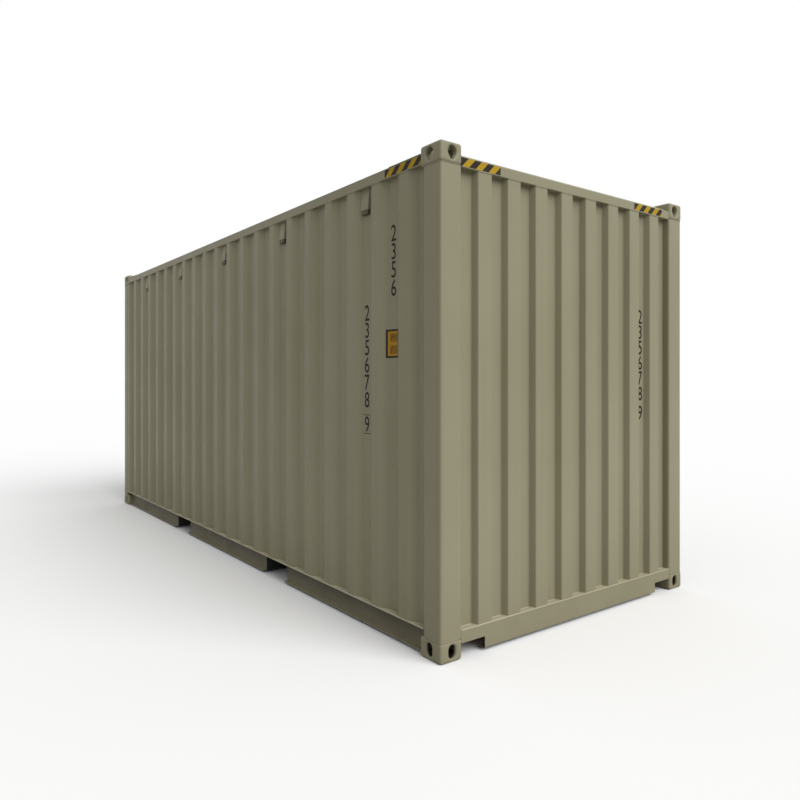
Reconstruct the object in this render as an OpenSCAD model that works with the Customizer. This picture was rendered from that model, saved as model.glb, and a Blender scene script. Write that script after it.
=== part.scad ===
// Twenty-foot high-cube steel shipping container with a blind front end, fork pockets and double doors.
// Millimetres. The blind front end faces +X, the doors face -X, the right-hand side faces -Y,
// and the castings stand on z = 0.

/* [Overall] */
// Length over the corner castings
length = 6058; // [4700:1:7300]
// Width over the corner castings
width = 2438; // [2250:1:2600]
// Height over the corner castings
height = 2896; // [2500:1:3000]
// Clear height between the ground and the underside of the frame
ground_clear = 17; // [11:0.5:30]

/* [Corner castings] */
// Length of a casting, along the container
casting_l = 178; // [172:1:190]
// Width of a casting, across the container
casting_w = 162; // [156:1:172]
// Height of a casting
casting_h = 118; // [112:1:124]
// Radius of a casting's outer edges
casting_edge_r = 13; // [6:0.5:18]
// Thickness of the plate that a twistlock enters
casting_plate = 28.5; // [22:0.5:32]
// Thickness of the outer walls
casting_wall = 38; // [30:0.5:42]
// Thickness of the inner walls
casting_inner_wall = 14; // [10:0.5:20]
// Length of a twistlock slot
slot_l = 124; // [110:0.5:126]
// Width of a twistlock slot
slot_w = 63.5; // [50:0.5:66]
// Distance of a slot's centre from the end face
slot_from_end = 101.5; // [97:0.5:104]
// Distance of a slot's centre from the side face
slot_from_side = 89; // [84:0.5:92]
// Width of the upright holes in the bottom castings
low_hole_w = 51; // [40:0.5:56]
// Height of the upright holes in the bottom castings
low_hole_h = 79; // [66:0.5:82]
// Width of the shield-shaped holes in the top castings
shield_w = 63.5; // [50:0.5:66]
// Height of the shield-shaped holes in the top castings
shield_h = 79; // [70:0.5:82]
// Radius at the foot of a shield-shaped hole
shield_foot_r = 14; // [8:0.5:20]

/* [Posts] */
// Setback of the posts from the faces of the castings
post_inset = 4; // [2:0.5:7]
// Sheet thickness of the front posts
post_t = 6; // [4:0.5:8]
// Reach of a front post along the side wall, from the end face
front_post_reach = 154; // [120:1:170]
// Depth of the lips that the wall sheets meet
post_lip = 56; // [52:1:80]
// Bend radius of the posts
post_bend_r = 14; // [9:0.5:18]
// Reach of a rear post along the side wall, from the end face
rear_post_reach = 117; // [100:1:130]
// Reach of a rear post across the door end, from the side face
rear_post_w = 49; // [40:1:60]

/* [Rails and sills] */
// Setback of rails and sills from the faces of the castings
rail_inset = 6; // [3:0.5:7.5]
// Height of the top of the bottom rails and sills
sill_top = 160; // [150:1:190]
// Sheet thickness of the bottom rails and sills
rail_t = 4.5; // [3:0.5:6]
// Bend radius of the bottom rails and sills
rail_bend_r = 9; // [7:0.5:12]
// Width of a bottom rail's upper flange
rail_upper_flange = 50.5; // [46:0.5:60]
// Width of a bottom rail's lower flange
rail_lower_flange = 34.5; // [24:0.5:42]
// Width of the end sills' upper flange
sill_upper_flange = 62; // [56:1:80]
// Width of the end sills' lower flange
sill_lower_flange = 50; // [30:1:60]
// Length of the cut-outs in the front sill, beside the castings
notch_l = 185; // [120:1:260]
// Height of the cut-outs in the front sill, from the ground
notch_h = 88; // [60:1:110]
// Side of the square top rails
top_rail = 60; // [54:1:66]
// Wall thickness of the top rails, the door header and the door frames
tube_t = 3; // [2:0.5:4]
// Outer corner radius of those tubes and of the rear posts
tube_r = 5; // [4.5:0.5:8]
// Rise of the top side rails above the foot of the top castings
side_rail_rise = 17; // [0:1:20]
// Drop of the front top rail below the foot of the top castings
front_rail_drop = 8; // [0:1:30]
// Thickness of the plates between the end rails and the roof
header_plate_t = 3; // [2:0.5:4]
// Length of those plates under the roof sheet
header_plate_lap = 70; // [40:1:120]
// Length of the stretch in which those plates rise
header_plate_run = 42; // [30:1:60]

/* [Walls] */
// Setback of the wall ridges from the faces of the castings
wall_inset = 8; // [8:0.5:12]
// Thickness of the wall and roof sheets
sheet_t = 2; // [1.5:0.1:2.5]
// Bend radius of the wall sheets
sheet_bend_r = 8; // [5:0.5:12]
// Distance between the side walls' ridges
side_pitch = 278.7; // [250:0.1:300]
// Flat width of a side wall ridge
side_ridge = 72; // [60:1:90]
// Width of a side wall slope
side_slope = 68; // [40:1:72]
// Depth of the side walls' corrugation
side_depth = 36; // [25:0.5:38]
// Distance of the first ridge's centre from the front end face
side_first_ridge = 338; // [320:1:360]
// Distance between the front wall's ridges
front_pitch = 247.7; // [220:0.1:260]
// Flat width of a front wall ridge
front_ridge = 110; // [80:1:120]
// Width of a front wall slope
front_slope = 18; // [14:1:30]
// Depth of the front wall's corrugation
front_depth = 45; // [30:0.5:46]
// Number of ridges in the front wall
front_ridges = 8; // [6:2:8]

/* [Roof] */
// Distance between the roof's cross ribs
roof_pitch = 209; // [180:1:240]
// Flat width of a roof rib
roof_rib = 91; // [70:1:110]
// Width of a roof rib's slope
roof_slope = 13.5; // [10:0.5:25]
// Height of a roof rib
roof_rib_h = 20; // [12:0.5:24]
// Bend radius of the roof ribs
roof_bend_r = 3.3; // [2.5:0.1:4]
// Flat margin beside the ends of the roof ribs
roof_margin = 150; // [110:1:200]
// Length of the plates on the roof's corners
corner_plate_l = 300; // [200:1:400]
// Thickness of the plates on the roof's corners
corner_plate_t = 3; // [2:0.5:4]
// Clearance of those plates to the ends of the ribs
corner_plate_gap = 12; // [6:1:30]
// Weld gap between those plates and the roof sheet
corner_plate_lift = 0.2; // [0.1:0.1:0.8]

/* [Floor] */
// Thickness of the floor boards
floor_t = 28; // [21:0.5:30]
// Height of the floor's top above the top of the sills
floor_rise = 5; // [2:0.5:12]
// Gap between floor boards
floor_gap = 2; // [1.5:0.5:4]
// Number of floor boards along the container
floor_rows = 5; // [4:1:7]
// Sheet thickness of the cross members
member_t = 4; // [3:0.5:5]
// Flange width of the cross members
member_flange = 45; // [35:1:50]
// Bend radius of the cross members
member_bend_r = 6; // [5.5:0.5:8]
// Largest distance between cross members
member_pitch = 290; // [250:1:340]
// Distance between the centres of the fork pockets
fork_centres = 2050; // [1900:1:2200]
// Width of a fork pocket
fork_w = 350; // [300:1:370]
// Thickness of a fork pocket's top plate
fork_top_t = 4; // [3:0.5:6]

/* [Ventilators] */
// Width of a ventilator
vent_w = 136; // [110:1:150]
// Height of a ventilator
vent_h = 165; // [110:1:200]
// Wall thickness of a ventilator
vent_t = 3; // [2:0.5:4]
// Side clearance of a ventilator to the wall sheet
vent_gap = 0.5; // [0.3:0.1:0.9]
// Number of wall ridges from one ventilator to the next
vent_every = 4; // [3:1:5]
// Number of wall ridges behind the last ventilator, at the least
vent_end_ridges = 5; // [4:1:7]

/* [Doors] */
// Setback of the doors, the header and the door sill from the end face
door_setback = 58; // [55:0.5:70]
// Depth of the door header and of the door sill
header_depth = 80; // [70:1:100]
// Height of the door header
header_h = 84; // [70:1:100]
// Thickness of a door leaf
leaf_t = 50; // [45:1:60]
// Width of the tubes of a door frame
leaf_tube = 100; // [80:1:120]
// Gap between a leaf and the sill, and between a leaf and the header
leaf_gap_z = 12; // [8:0.5:20]
// Gap between a leaf and its post
leaf_gap_y = 15; // [10:0.5:20]
// Gap between the two leaves
leaf_gap_mid = 12; // [8:0.5:20]
// Depth of a door seal
seal_depth = 25; // [15:1:35]
// Distance of a door seal from the leaf's outer face
seal_setback = 12; // [6:1:18]
// Number of grooves in a door panel
door_grooves = 5; // [3:1:6]
// Width of a groove's floor
groove_w = 72; // [50:1:90]
// Width of a groove's slope
groove_slope = 60; // [40:1:70]
// Depth of a groove
groove_depth = 32; // [20:0.5:38]

/* [Door gear] */
// Radius of a locking bar
bar_r = 17; // [14:0.5:19]
// Distance of a bar's axis from the leaf's outer face
bar_stand = 32; // [28:0.5:34]
// Distance of the inner bars from the middle of the door end
inner_bar_y = 190; // [150:1:260]
// Distance of the outer bars from the side face
outer_bar_y = 290; // [230:1:340]
// Running clearance round the bars and hinge pins
gear_gap = 0.3; // [0.2:0.05:0.5]
// Height of the bars' lower ends above the underside of the frame
bar_foot = 50; // [45:1:60]
// Distance of the bars' upper ends below the top of the door header
bar_head = 24; // [20:1:30]
// Half width of a cam's claw
cam_half = 35; // [28:1:36]
// Height of a cam's collar
cam_h = 40; // [36:1:46]
// Height of a cam's claw
cam_claw_h = 32; // [26:1:34]
// Wall thickness of a cam's collar
cam_collar = 5; // [3:0.5:6]
// Thickness of keeper, guide and catch plates
gear_plate = 8; // [5:0.5:10]
// Half width of a bar guide's plate
guide_half = 51; // [46:1:60]
// Height of a bar guide
guide_h = 40; // [34:1:50]
// Height of a bar guide's plate
guide_plate_h = 60; // [54:1:70]
// Thickness of a bar guide outside its bar
guide_cover = 6; // [4:0.5:8]
// Height of a keeper's plate beyond the cam, above and below
keeper_over_z = 12; // [6:1:16]
// Width of a keeper's plate beyond the cam, on either side
keeper_over_y = 18; // [17:1:24]
// Thickness of a keeper's cheeks
cheek_t = 12; // [8:1:13]
// Clearance of a keeper's cheeks to the claw
cheek_gap = 4; // [2:0.5:4]
// Height of a handle lever
lever_h = 38; // [30:1:45]
// Thickness of a handle lever
lever_t = 14; // [10:0.5:18]
// Length of a handle lever from its bar
lever_l = 470; // [380:1:520]
// Height of the levers above or below the bar guide nearest to them
lever_offset = 70; // [65:1:75]
// Height of a lever's hub
lever_hub_h = 50; // [46:1:60]
// Wall thickness of a lever's hub
lever_hub_t = 8; // [5:0.5:9]
// Width of a lever's catch
catch_w = 46; // [36:1:60]
// Height of a catch's plate beyond the lever, above and below
catch_over = 30; // [20:1:40]
// Height of a catch's outer lip
catch_lip = 14; // [8:1:18]
// Thickness of a catch's shelf
catch_shelf = 12; // [8:1:16]
// Number of hinges on a leaf
hinges = 4; // [3:1:5]
// Share of a leaf's height between its outermost hinges
hinge_spread = 0.84; // [0.76:0.01:0.88]
// Radius of a hinge pin
hinge_pin_r = 8; // [6:0.5:10]
// Outer radius of a hinge knuckle
hinge_knuckle_r = 17; // [13:0.5:18]
// Height of a hinge blade
hinge_h = 70; // [50:1:90]
// Length of a hinge blade from its pin
hinge_blade_l = 135; // [110:1:160]
// Thickness of a hinge blade and of its lugs
hinge_t = 12; // [10:0.5:14]
// Length of a hinge pin beyond its lugs
hinge_pin_over = 8; // [4:0.5:12]
// Depth to which a knuckle enters its blade
hinge_bite = 1; // [0.5:0.1:2]
// Clearance of a knuckle to its post
hinge_clear = 2; // [1:0.5:4]

/* [Hidden] */
$fn = 48;

paint = "#98927e";
undercoat = "#2a2a28";
plywood = "#9a6b43";
rubber = "#1c1c1c";
zinc = "#9aa0a2";

bend_steps = 4;
shield_steps = 8;
cut_over = 20;

half_l = length / 2;
half_w = width / 2;
low_z = casting_h;
high_z = height - casting_h;

// Side wall, measured from the front end face along the container
side_x_front = half_l - front_post_reach;
side_x_rear = -half_l + rear_post_reach;
side_ridges = floor((side_x_front - side_x_rear) / side_pitch) + 2;

front_rail_z = high_z - front_rail_drop;
end_rail_top = front_rail_z + top_rail;
side_rail_z = high_z + side_rail_rise;
roof_z = side_rail_z + top_rail;
roof_half_l = half_l - casting_l;
roof_half_w = half_w - rail_inset;
rib_half_w = half_w - roof_margin;
roof_ribs = floor((2 * roof_half_l - roof_rib - 2 * roof_slope) / roof_pitch);

rail_web_v = rail_inset + rail_upper_flange;
member_half = half_w - rail_web_v;
floor_top = sill_top + floor_rise;
floor_low = floor_top - floor_t;
floor_x_front = half_l - rail_inset - sill_upper_flange - floor_gap;
floor_x_rear = -half_l + door_setback + header_depth + floor_gap;

header_low = end_rail_top - header_h;
opening_half = half_w - rear_post_w;
leaf_low = sill_top + leaf_gap_z;
leaf_high = header_low - leaf_gap_z;
leaf_in = leaf_gap_mid / 2;
leaf_out = opening_half - leaf_gap_y;
fork_top = floor_low - fork_top_t;
bar_e = door_setback - bar_stand;
bar_low = ground_clear + bar_foot;
bar_high = end_rail_top - bar_head;
inner_bar = inner_bar_y;
outer_bar = half_w - outer_bar_y;
hinge_e = door_setback - hinge_t - hinge_knuckle_r + hinge_bite;
hinge_v = rear_post_w + hinge_knuckle_r + hinge_clear;
leaf_mid_z = (leaf_low + leaf_high) / 2;

// Unit vector along v
function unit(v) = v / norm(v);

// Normal to the left of direction d
function left_of(d) = [-d[1], d[0]];

// Corner b between a and c, rounded to radius r
function bend(a, b, c, r) =
    let (u = unit(a - b), w = unit(c - b), half = acos(max(-1, min(1, u * w))) / 2)
    half > 89 ? [b] :
    let (centre = b + unit(u + w) * r / sin(half),
         p = b + u * r / tan(half) - centre,
         q = b + w * r / tan(half) - centre)
    [for (i = [0 : bend_steps]) centre + r * unit(p + (q - p) * i / bend_steps)];

// Path with every inner corner rounded to radius r
function rounded(path, r) = concat(
    [path[0]],
    [for (i = [1 : len(path) - 2]) each bend(path[i - 1], path[i], path[i + 1], r)],
    [path[len(path) - 1]]);

// Point i of a path, moved to the left by t
function moved(path, i, t) =
    let (last = len(path) - 1,
         before = unit(i > 0 ? path[i] - path[i - 1] : path[1] - path[0]),
         after = unit(i < last ? path[i + 1] - path[i] : path[last] - path[last - 1]),
         normal = unit(left_of(before) + left_of(after)))
    path[i] + normal * t / (normal * left_of(before));

// Outline of a sheet of thickness t that lies to the left of a bent path
function sheet(path, t, r) =
    let (p = rounded(path, r), last = len(p) - 1)
    concat(p, [for (i = [last : -1 : 0]) moved(p, i, t)]);

// Four corners of a trapezoid ridge at c: flat top of width w, slopes s, foot at depth d
function ridge(c, w, s, d) = [[c - w / 2 - s, d], [c - w / 2, 0], [c + w / 2, 0], [c + w / 2 + s, d]];

// Part of a zigzag between a and b, with its ends found on its slopes
function cut_path(points, a, b, keep) = concat(
    [[a, lookup(a, points)]],
    [for (p = points) if (p[0] > a + keep && p[0] < b - keep) p],
    [[b, lookup(b, points)]]);

// Flat outline in y and z, extruded along x
module along_x(a, b) translate([a, 0, 0]) rotate([90, 0, 90]) linear_extrude(b - a) children();

// Flat outline in x and z, extruded along y
module along_y(a, b) translate([0, b, 0]) rotate([90, 0, 0]) linear_extrude(b - a) children();

// Flat outline in x and y, extruded along z
module along_z(a, b) translate([0, 0, a]) linear_extrude(b - a) children();

// Box between two corners
module block(a, b) translate(a) cube(b - a);

// The same shape at the four corners, given at x and y measured inwards from a corner
module at_corners()
    for (sx = [-1, 1], sy = [-1, 1])
        translate([sx * half_l, sy * half_w, 0])
            mirror([sx > 0 ? 1 : 0, 0, 0]) mirror([0, sy > 0 ? 1 : 0, 0]) children();

// Shape measured inwards from the right-hand front corner
module at_front_right() translate([half_l, -half_w, 0]) mirror([1, 0, 0]) children();

// Shape measured inwards from the right-hand rear corner
module at_rear_right() translate([-half_l, -half_w, 0]) children();

module left_hand() mirror([0, 1, 0]) children();

// Room taken by the castings of one level, lifted to z
module casting_room(z)
    at_corners()
        block([-cut_over, -cut_over, z], [casting_l, casting_w, z + casting_h]);

// Corner castings
module casting_block() {
    r = casting_edge_r;
    hull() {
        for (x = [r, casting_l - r], y = [r, casting_w - r], z = [r, casting_h - r])
            translate([x, y, z]) sphere(r, $fn = 24);
        block([0, r, r], [casting_l, casting_w - r, casting_h - r]);
        block([r, 0, r], [casting_l - r, casting_w, casting_h - r]);
        block([r, r, 0], [casting_l - r, casting_w - r, casting_h]);
    }
}

// Twistlock slot through the plate, along the container
module twistlock_slot() {
    run = (slot_l - slot_w) / 2;
    translate([slot_from_end, slot_from_side, -cut_over]) {
        for (s = [-1, 1])
            translate([s * run, 0, 0]) cylinder(h = casting_plate + 2 * cut_over, d = slot_w);
        translate([-run, -slot_w / 2, 0]) cube([2 * run, slot_w, casting_plate + 2 * cut_over]);
    }
}

// Upright hole with round ends, centred on the origin
module upright_hole() {
    run = (low_hole_h - low_hole_w) / 2;
    for (s = [-1, 1]) translate([0, s * run]) circle(d = low_hole_w);
    square([low_hole_w, 2 * run], center = true);
}

// Shield outline: a round head over sides that close to a small round foot
module shield_hole() {
    head_r = shield_w / 2;
    head_y = shield_h / 2 - head_r;
    foot_y = -shield_h / 2 + shield_foot_r;
    lean = asin((head_r - shield_foot_r) / (head_y - foot_y));
    polygon(concat(
        [for (i = [0 : 2 * shield_steps]) let (a = -lean + (90 + lean) * i / shield_steps)
            [head_r * cos(a), head_y + head_r * sin(a)]],
        [for (i = [0 : shield_steps]) let (a = 180 + lean + (180 - 2 * lean) * i / shield_steps)
            [shield_foot_r * cos(a), foot_y + shield_foot_r * sin(a)]]));
}

// One casting, with its outer corner at the origin and its plate at the bottom; children cut the side holes
module casting()
    difference() {
        casting_block();
        block([casting_wall, casting_wall, casting_plate],
              [casting_l - casting_inner_wall, casting_w - casting_inner_wall,
               casting_h - casting_inner_wall]);
        twistlock_slot();
        along_x(-cut_over, casting_wall + cut_over)
            translate([slot_from_side, casting_h / 2]) children();
        along_y(-cut_over, casting_wall + cut_over)
            translate([slot_from_end, casting_h / 2]) children();
    }

module bottom_corner_castings()
    color(paint) at_corners() casting() upright_hole();

module top_corner_castings()
    color(paint)
        translate([0, 0, height]) mirror([0, 0, 1])
            at_corners() casting() mirror([0, 1]) shield_hole();

// Corner posts
module front_right_post()
    color(paint)
        at_front_right() along_z(low_z, high_z)
            polygon(sheet([[post_inset + post_lip, casting_w], [post_inset, casting_w],
                           [post_inset, post_inset], [front_post_reach, post_inset],
                           [front_post_reach, post_inset + post_lip]], post_t, post_bend_r));

// Rear post, a closed box section
module rear_right_post()
    color(paint)
        at_rear_right() along_z(low_z, high_z)
            translate([post_inset, post_inset])
                tube_outline(rear_post_reach - post_inset, rear_post_w - post_inset, post_t);

// Bottom side rail from end to end, a channel that opens outwards
module bottom_rail_run()
    along_x(side_x_rear, side_x_front)
        translate([-half_w, 0])
            polygon(sheet([[rail_web_v - rail_lower_flange, ground_clear], [rail_web_v, ground_clear],
                           [rail_web_v, sill_top], [rail_inset, sill_top]], rail_t, rail_bend_r));

// Stretch of a bottom rail at each fork pocket, from height a to height b
module fork_room(a, b)
    for (s = [-1, 1])
        block([s * fork_centres / 2 - fork_w / 2, -half_w - cut_over, a],
              [s * fork_centres / 2 + fork_w / 2, -member_half + cut_over, b]);

// Bottom rail in three lengths, between the castings and the fork pockets
module right_bottom_rail()
    color(paint)
        difference() {
            bottom_rail_run();
            casting_room(0);
            fork_room(0, sill_top + cut_over);
        }

// Straps that carry the bottom rails across the fork pockets
module fork_pocket_straps()
    color(paint)
        for (m = [0, 1])
            mirror([0, m, 0])
                intersection() {
                    bottom_rail_run();
                    fork_room(fork_top, sill_top + cut_over);
                }

// Corners of a rectangle from the origin to w and h, rounded to radius r
function rounded_box(w, h, r) =
    let (c = [[0, 0], [w, 0], [w, h], [0, h]])
    [for (i = [0 : 3]) each bend(c[(i + 3) % 4], c[i], c[(i + 1) % 4], r)];

// Tube outline of wall t, with its low corner at the origin
module tube_outline(w, h, t = tube_t)
    difference() {
        polygon(rounded_box(w, h, tube_r));
        translate([t, t]) square([w - 2 * t, h - 2 * t]);
    }

module right_top_rail()
    color(paint)
        along_x(-roof_half_l, roof_half_l)
            translate([-half_w + rail_inset, side_rail_z]) tube_outline(top_rail, top_rail);

// Front sill, a channel that opens inwards, cut away beside the castings
module front_sill()
    color(paint)
        difference() {
            translate([half_l, 0, 0]) mirror([1, 0, 0])
                along_y(-half_w + casting_w, half_w - casting_w)
                    polygon(sheet([[rail_inset + sill_upper_flange, sill_top], [rail_inset, sill_top],
                                   [rail_inset, ground_clear],
                                   [rail_inset + sill_lower_flange, ground_clear]],
                                  rail_t, rail_bend_r));
            for (s = [-1, 1])
                translate([half_l - rail_inset - sill_upper_flange - cut_over,
                           s * (half_w - casting_w - notch_l / 2) - notch_l / 2, 0])
                    cube([sill_upper_flange + 2 * cut_over, notch_l, notch_h]);
        }

module front_top_rail()
    color(paint)
        along_y(-half_w + casting_w, half_w - casting_w)
            translate([half_l - rail_inset - top_rail, front_rail_z]) tube_outline(top_rail, top_rail);

// Plate that rises from an end rail and runs under the roof sheet; setback is where it leaves the rail
module header_plate(setback)
    along_y(-half_w + casting_w, half_w - casting_w)
        polygon(sheet([[setback, end_rail_top], [setback + header_plate_run, roof_z],
                       [casting_l + header_plate_lap, roof_z]], -header_plate_t, rail_bend_r));

module front_header_plate()
    color(paint)
        intersection() {
            translate([half_l, 0, 0]) mirror([1, 0, 0]) header_plate(2 * rail_inset);
            block([-half_l, -half_w, end_rail_top], [half_l, half_w, height]);
        }

module rear_header_plate()
    color(paint)
        intersection() {
            translate([-half_l, 0, 0]) header_plate(door_setback + rail_inset);
            block([-half_l, -half_w, end_rail_top], [half_l, half_w, height]);
        }

// Door sill and header span the posts and pass the castings
module door_sill()
    color(paint)
        difference() {
            translate([-half_l, 0, 0])
                along_y(-opening_half, opening_half)
                    polygon(sheet([[door_setback + sill_lower_flange, ground_clear],
                                   [door_setback, ground_clear], [door_setback, sill_top],
                                   [door_setback + header_depth, sill_top]], -rail_t, rail_bend_r));
            casting_room(0);
        }

module door_header()
    color(paint)
        difference() {
            along_y(-opening_half, opening_half)
                translate([-half_l + door_setback, header_low]) tube_outline(header_depth, header_h);
            casting_room(high_z);
        }

// Walls and roof
side_zigzag = [for (k = [side_ridges : -1 : 0])
    each ridge(half_l - side_first_ridge - k * side_pitch, side_ridge, side_slope, side_depth)];

module right_side_wall()
    color(paint)
        difference() {
            along_z(sill_top, side_rail_z)
                translate([0, -half_w + wall_inset])
                    polygon(sheet(cut_path(side_zigzag, side_x_rear, side_x_front, 2 * sheet_bend_r),
                                  sheet_t, sheet_bend_r));
            casting_room(high_z);
        }

front_zigzag = [for (k = [0 : front_ridges - 1])
    each ridge((k - (front_ridges - 1) / 2) * front_pitch, front_ridge, front_slope, front_depth)];

module front_wall()
    color(paint)
        translate([half_l - wall_inset, 0, 0])
            along_z(sill_top, front_rail_z)
                rotate(90)
                    polygon(sheet(cut_path(front_zigzag, -half_w + casting_w, half_w - casting_w,
                                           2 * sheet_bend_r), sheet_t, sheet_bend_r));

// Roof sheet: cross ribs pressed upwards, closed at both ends, in a flat margin
roof_rib_x = [for (k = [0 : roof_ribs - 1]) (k - (roof_ribs - 1) / 2) * roof_pitch];

module rib_outline(c)
    polygon([for (p = ridge(c, roof_rib, roof_slope, -roof_rib_h)) [p[0], roof_z + roof_rib_h + p[1]]]);

module roof_panel()
    color(paint) {
        along_y(-rib_half_w, rib_half_w)
            polygon(sheet(concat([[-roof_half_l, roof_z]],
                                 [for (c = roof_rib_x, p = ridge(c, roof_rib, roof_slope, -roof_rib_h))
                                     [p[0], roof_z + roof_rib_h + p[1]]],
                                 [[roof_half_l, roof_z]]), sheet_t, roof_bend_r));
        for (s = [-1, 1])
            block([-roof_half_l, s > 0 ? rib_half_w : -roof_half_w, roof_z],
                  [roof_half_l, s > 0 ? roof_half_w : -rib_half_w, roof_z + sheet_t]);
        for (s = [-1, 1], c = roof_rib_x)
            translate([0, s * (rib_half_w - sheet_t / 2), 0])
                along_y(-sheet_t / 2, sheet_t / 2) rib_outline(c);
    }

module roof_corner_plates()
    color(paint)
        at_corners()
            translate([0, 0, roof_z + sheet_t + corner_plate_lift])
                block([casting_l, rail_inset, 0],
                      [casting_l + corner_plate_l, roof_margin - corner_plate_gap, corner_plate_t]);

// Floor and underframe
module floor_boards()
    color(plywood) {
        board_l = (floor_x_front - floor_x_rear + floor_gap) / floor_rows;
        for (i = [0 : floor_rows - 1], s = [-1, 1])
            block([floor_x_rear + i * board_l, s > 0 ? floor_gap / 2 : -member_half + floor_gap, floor_low],
                  [floor_x_rear + (i + 1) * board_l - floor_gap,
                   s > 0 ? member_half - floor_gap : -floor_gap / 2, floor_top]);
    }

// Channel across the container with its web at x = 0 and its flanges towards +x
module cross_channel(top)
    along_y(-member_half, member_half)
        polygon(sheet([[member_flange, ground_clear], [0, ground_clear], [0, top],
                       [member_flange, top]], -member_t, member_bend_r));

// Cross members share a stretch from a to b evenly, with none at its ends
module member_run(a, b) {
    count = ceil((b - a) / member_pitch);
    for (i = [1 : count - 1])
        translate([a + (b - a) * i / count - member_flange / 2, 0, 0]) cross_channel(floor_low);
}

fork_wall_out = fork_centres / 2 + fork_w / 2 + member_flange;
fork_wall_in = fork_centres / 2 - fork_w / 2 - member_flange;

module cross_members()
    color(undercoat) {
        member_run(-fork_wall_in, fork_wall_in);
        member_run(fork_wall_out, floor_x_front);
        member_run(floor_x_rear, -fork_wall_out);
    }

// Walls of the fork pockets, with their flanges turned away from the forks
module fork_pockets()
    color(undercoat)
        for (s = [-1, 1], m = [0, 1])
            translate([s * fork_centres / 2, 0, 0])
                mirror([m, 0, 0]) translate([fork_w / 2, 0, 0]) cross_channel(fork_top);

module fork_pocket_tops()
    color(undercoat)
        for (s = [-1, 1])
            translate([s * fork_centres / 2, 0, 0])
                block([-fork_w / 2 - member_flange, -member_half, fork_top],
                      [fork_w / 2 + member_flange, member_half, floor_low]);

// Ventilators: hoods with open bottoms, in the hollows of the wall under the top rail
module vent_outline(shrink) {
    foot = (side_pitch - side_ridge - 2 * side_slope) / 2 - vent_gap - shrink;
    face = vent_w / 2 - shrink;
    back = side_depth - vent_gap - shrink;
    knee = side_depth * (face - foot) / side_slope;
    polygon([[-face, shrink], [face, shrink], [face, back - knee], [foot, back], [-foot, back],
             [-face, back - knee]]);
}

module right_vents()
    color(paint)
        for (k = [1 : vent_every : side_ridges - vent_end_ridges])
            translate([half_l - side_first_ridge - (k + 0.5) * side_pitch, -half_w + wall_inset, 0])
                difference() {
                    along_z(side_rail_z - vent_h, side_rail_z) vent_outline(0);
                    along_z(side_rail_z - vent_h - cut_over, side_rail_z - vent_t) vent_outline(vent_t);
                }

// Doors
module right_door_frame()
    color(paint)
        translate([-half_l + door_setback, 0, 0]) {
            for (y = [-leaf_out, -leaf_in - leaf_tube])
                along_z(leaf_low, leaf_high) translate([0, y]) tube_outline(leaf_t, leaf_tube);
            for (z = [leaf_low, leaf_high - leaf_tube])
                along_y(-leaf_out + leaf_tube, -leaf_in - leaf_tube)
                    translate([0, z]) tube_outline(leaf_t, leaf_tube);
        }

panel_low = leaf_low + leaf_tube;
panel_high = leaf_high - leaf_tube;
groove_pitch = (panel_high - panel_low) / door_grooves;

module right_door_panel()
    color(paint)
        translate([-half_l + door_setback, 0, 0])
            along_y(-leaf_out + leaf_tube, -leaf_in - leaf_tube)
                polygon(sheet(concat([[0, panel_low]],
                    [for (i = [0 : door_grooves - 1],
                          p = ridge(panel_low + (i + 0.5) * groove_pitch, groove_w, groove_slope,
                                    -groove_depth))
                        [groove_depth + p[1], p[0]]],
                    [[0, panel_high]]), -sheet_t, sheet_bend_r));

module right_door_seal()
    color(rubber)
        translate([-half_l + door_setback, 0, 0])
            along_x(seal_setback, seal_setback + seal_depth)
                difference() {
                    translate([-opening_half, sill_top]) square([opening_half, header_low - sill_top]);
                    translate([-leaf_out, leaf_low]) square([leaf_out - leaf_in, leaf_high - leaf_low]);
                }

// Locking bar at y, with a cam at each end
module locking_bar(y)
    color(paint)
        translate([-half_l + bar_e, y, 0]) {
            translate([0, 0, bar_low]) cylinder(h = bar_high - bar_low, r = bar_r);
            for (z = [bar_low + cam_h / 2, bar_high - cam_h / 2])
                translate([0, 0, z]) {
                    cylinder(h = cam_h, r = bar_r + cam_collar, center = true);
                    translate([bar_r / 2, 0, 0]) cube([bar_r, 2 * cam_half, cam_claw_h], center = true);
                }
        }

bar_rows = [-outer_bar, -inner_bar, inner_bar, outer_bar];

guide_z = [for (i = [1 : door_grooves - 1]) panel_low + i * groove_pitch];

// Guides hold the bars to the leaves
module bar_guides()
    color(zinc)
        for (y = bar_rows, z = guide_z)
            translate([-half_l, y, z])
                difference() {
                    union() {
                        block([door_setback - gear_plate, -guide_half, -guide_plate_h / 2],
                              [door_setback, guide_half, guide_plate_h / 2]);
                        block([bar_e - bar_r - guide_cover, -guide_half / 2, -guide_h / 2],
                              [door_setback - gear_plate, guide_half / 2, guide_h / 2]);
                    }
                    translate([bar_e, 0, 0])
                        cylinder(h = guide_plate_h + cut_over, r = bar_r + gear_gap, center = true);
                }

keeper_half_h = cam_h / 2 + keeper_over_z;
keeper_half_w = cam_half + keeper_over_y;

// Keepers on the sill and the header take the cams
module cam_keepers()
    color(zinc)
        for (y = bar_rows, z = [bar_low + cam_h / 2, bar_high - cam_h / 2])
            translate([-half_l, y, z]) {
                block([door_setback - gear_plate, -keeper_half_w, -keeper_half_h],
                      [door_setback, keeper_half_w, keeper_half_h]);
                for (s = [0, 1])
                    mirror([0, s, 0])
                        block([bar_e - bar_r / 2, cam_half + cheek_gap, -cam_h / 2],
                              [door_setback - gear_plate, cam_half + cheek_gap + cheek_t, cam_h / 2]);
            }

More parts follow.
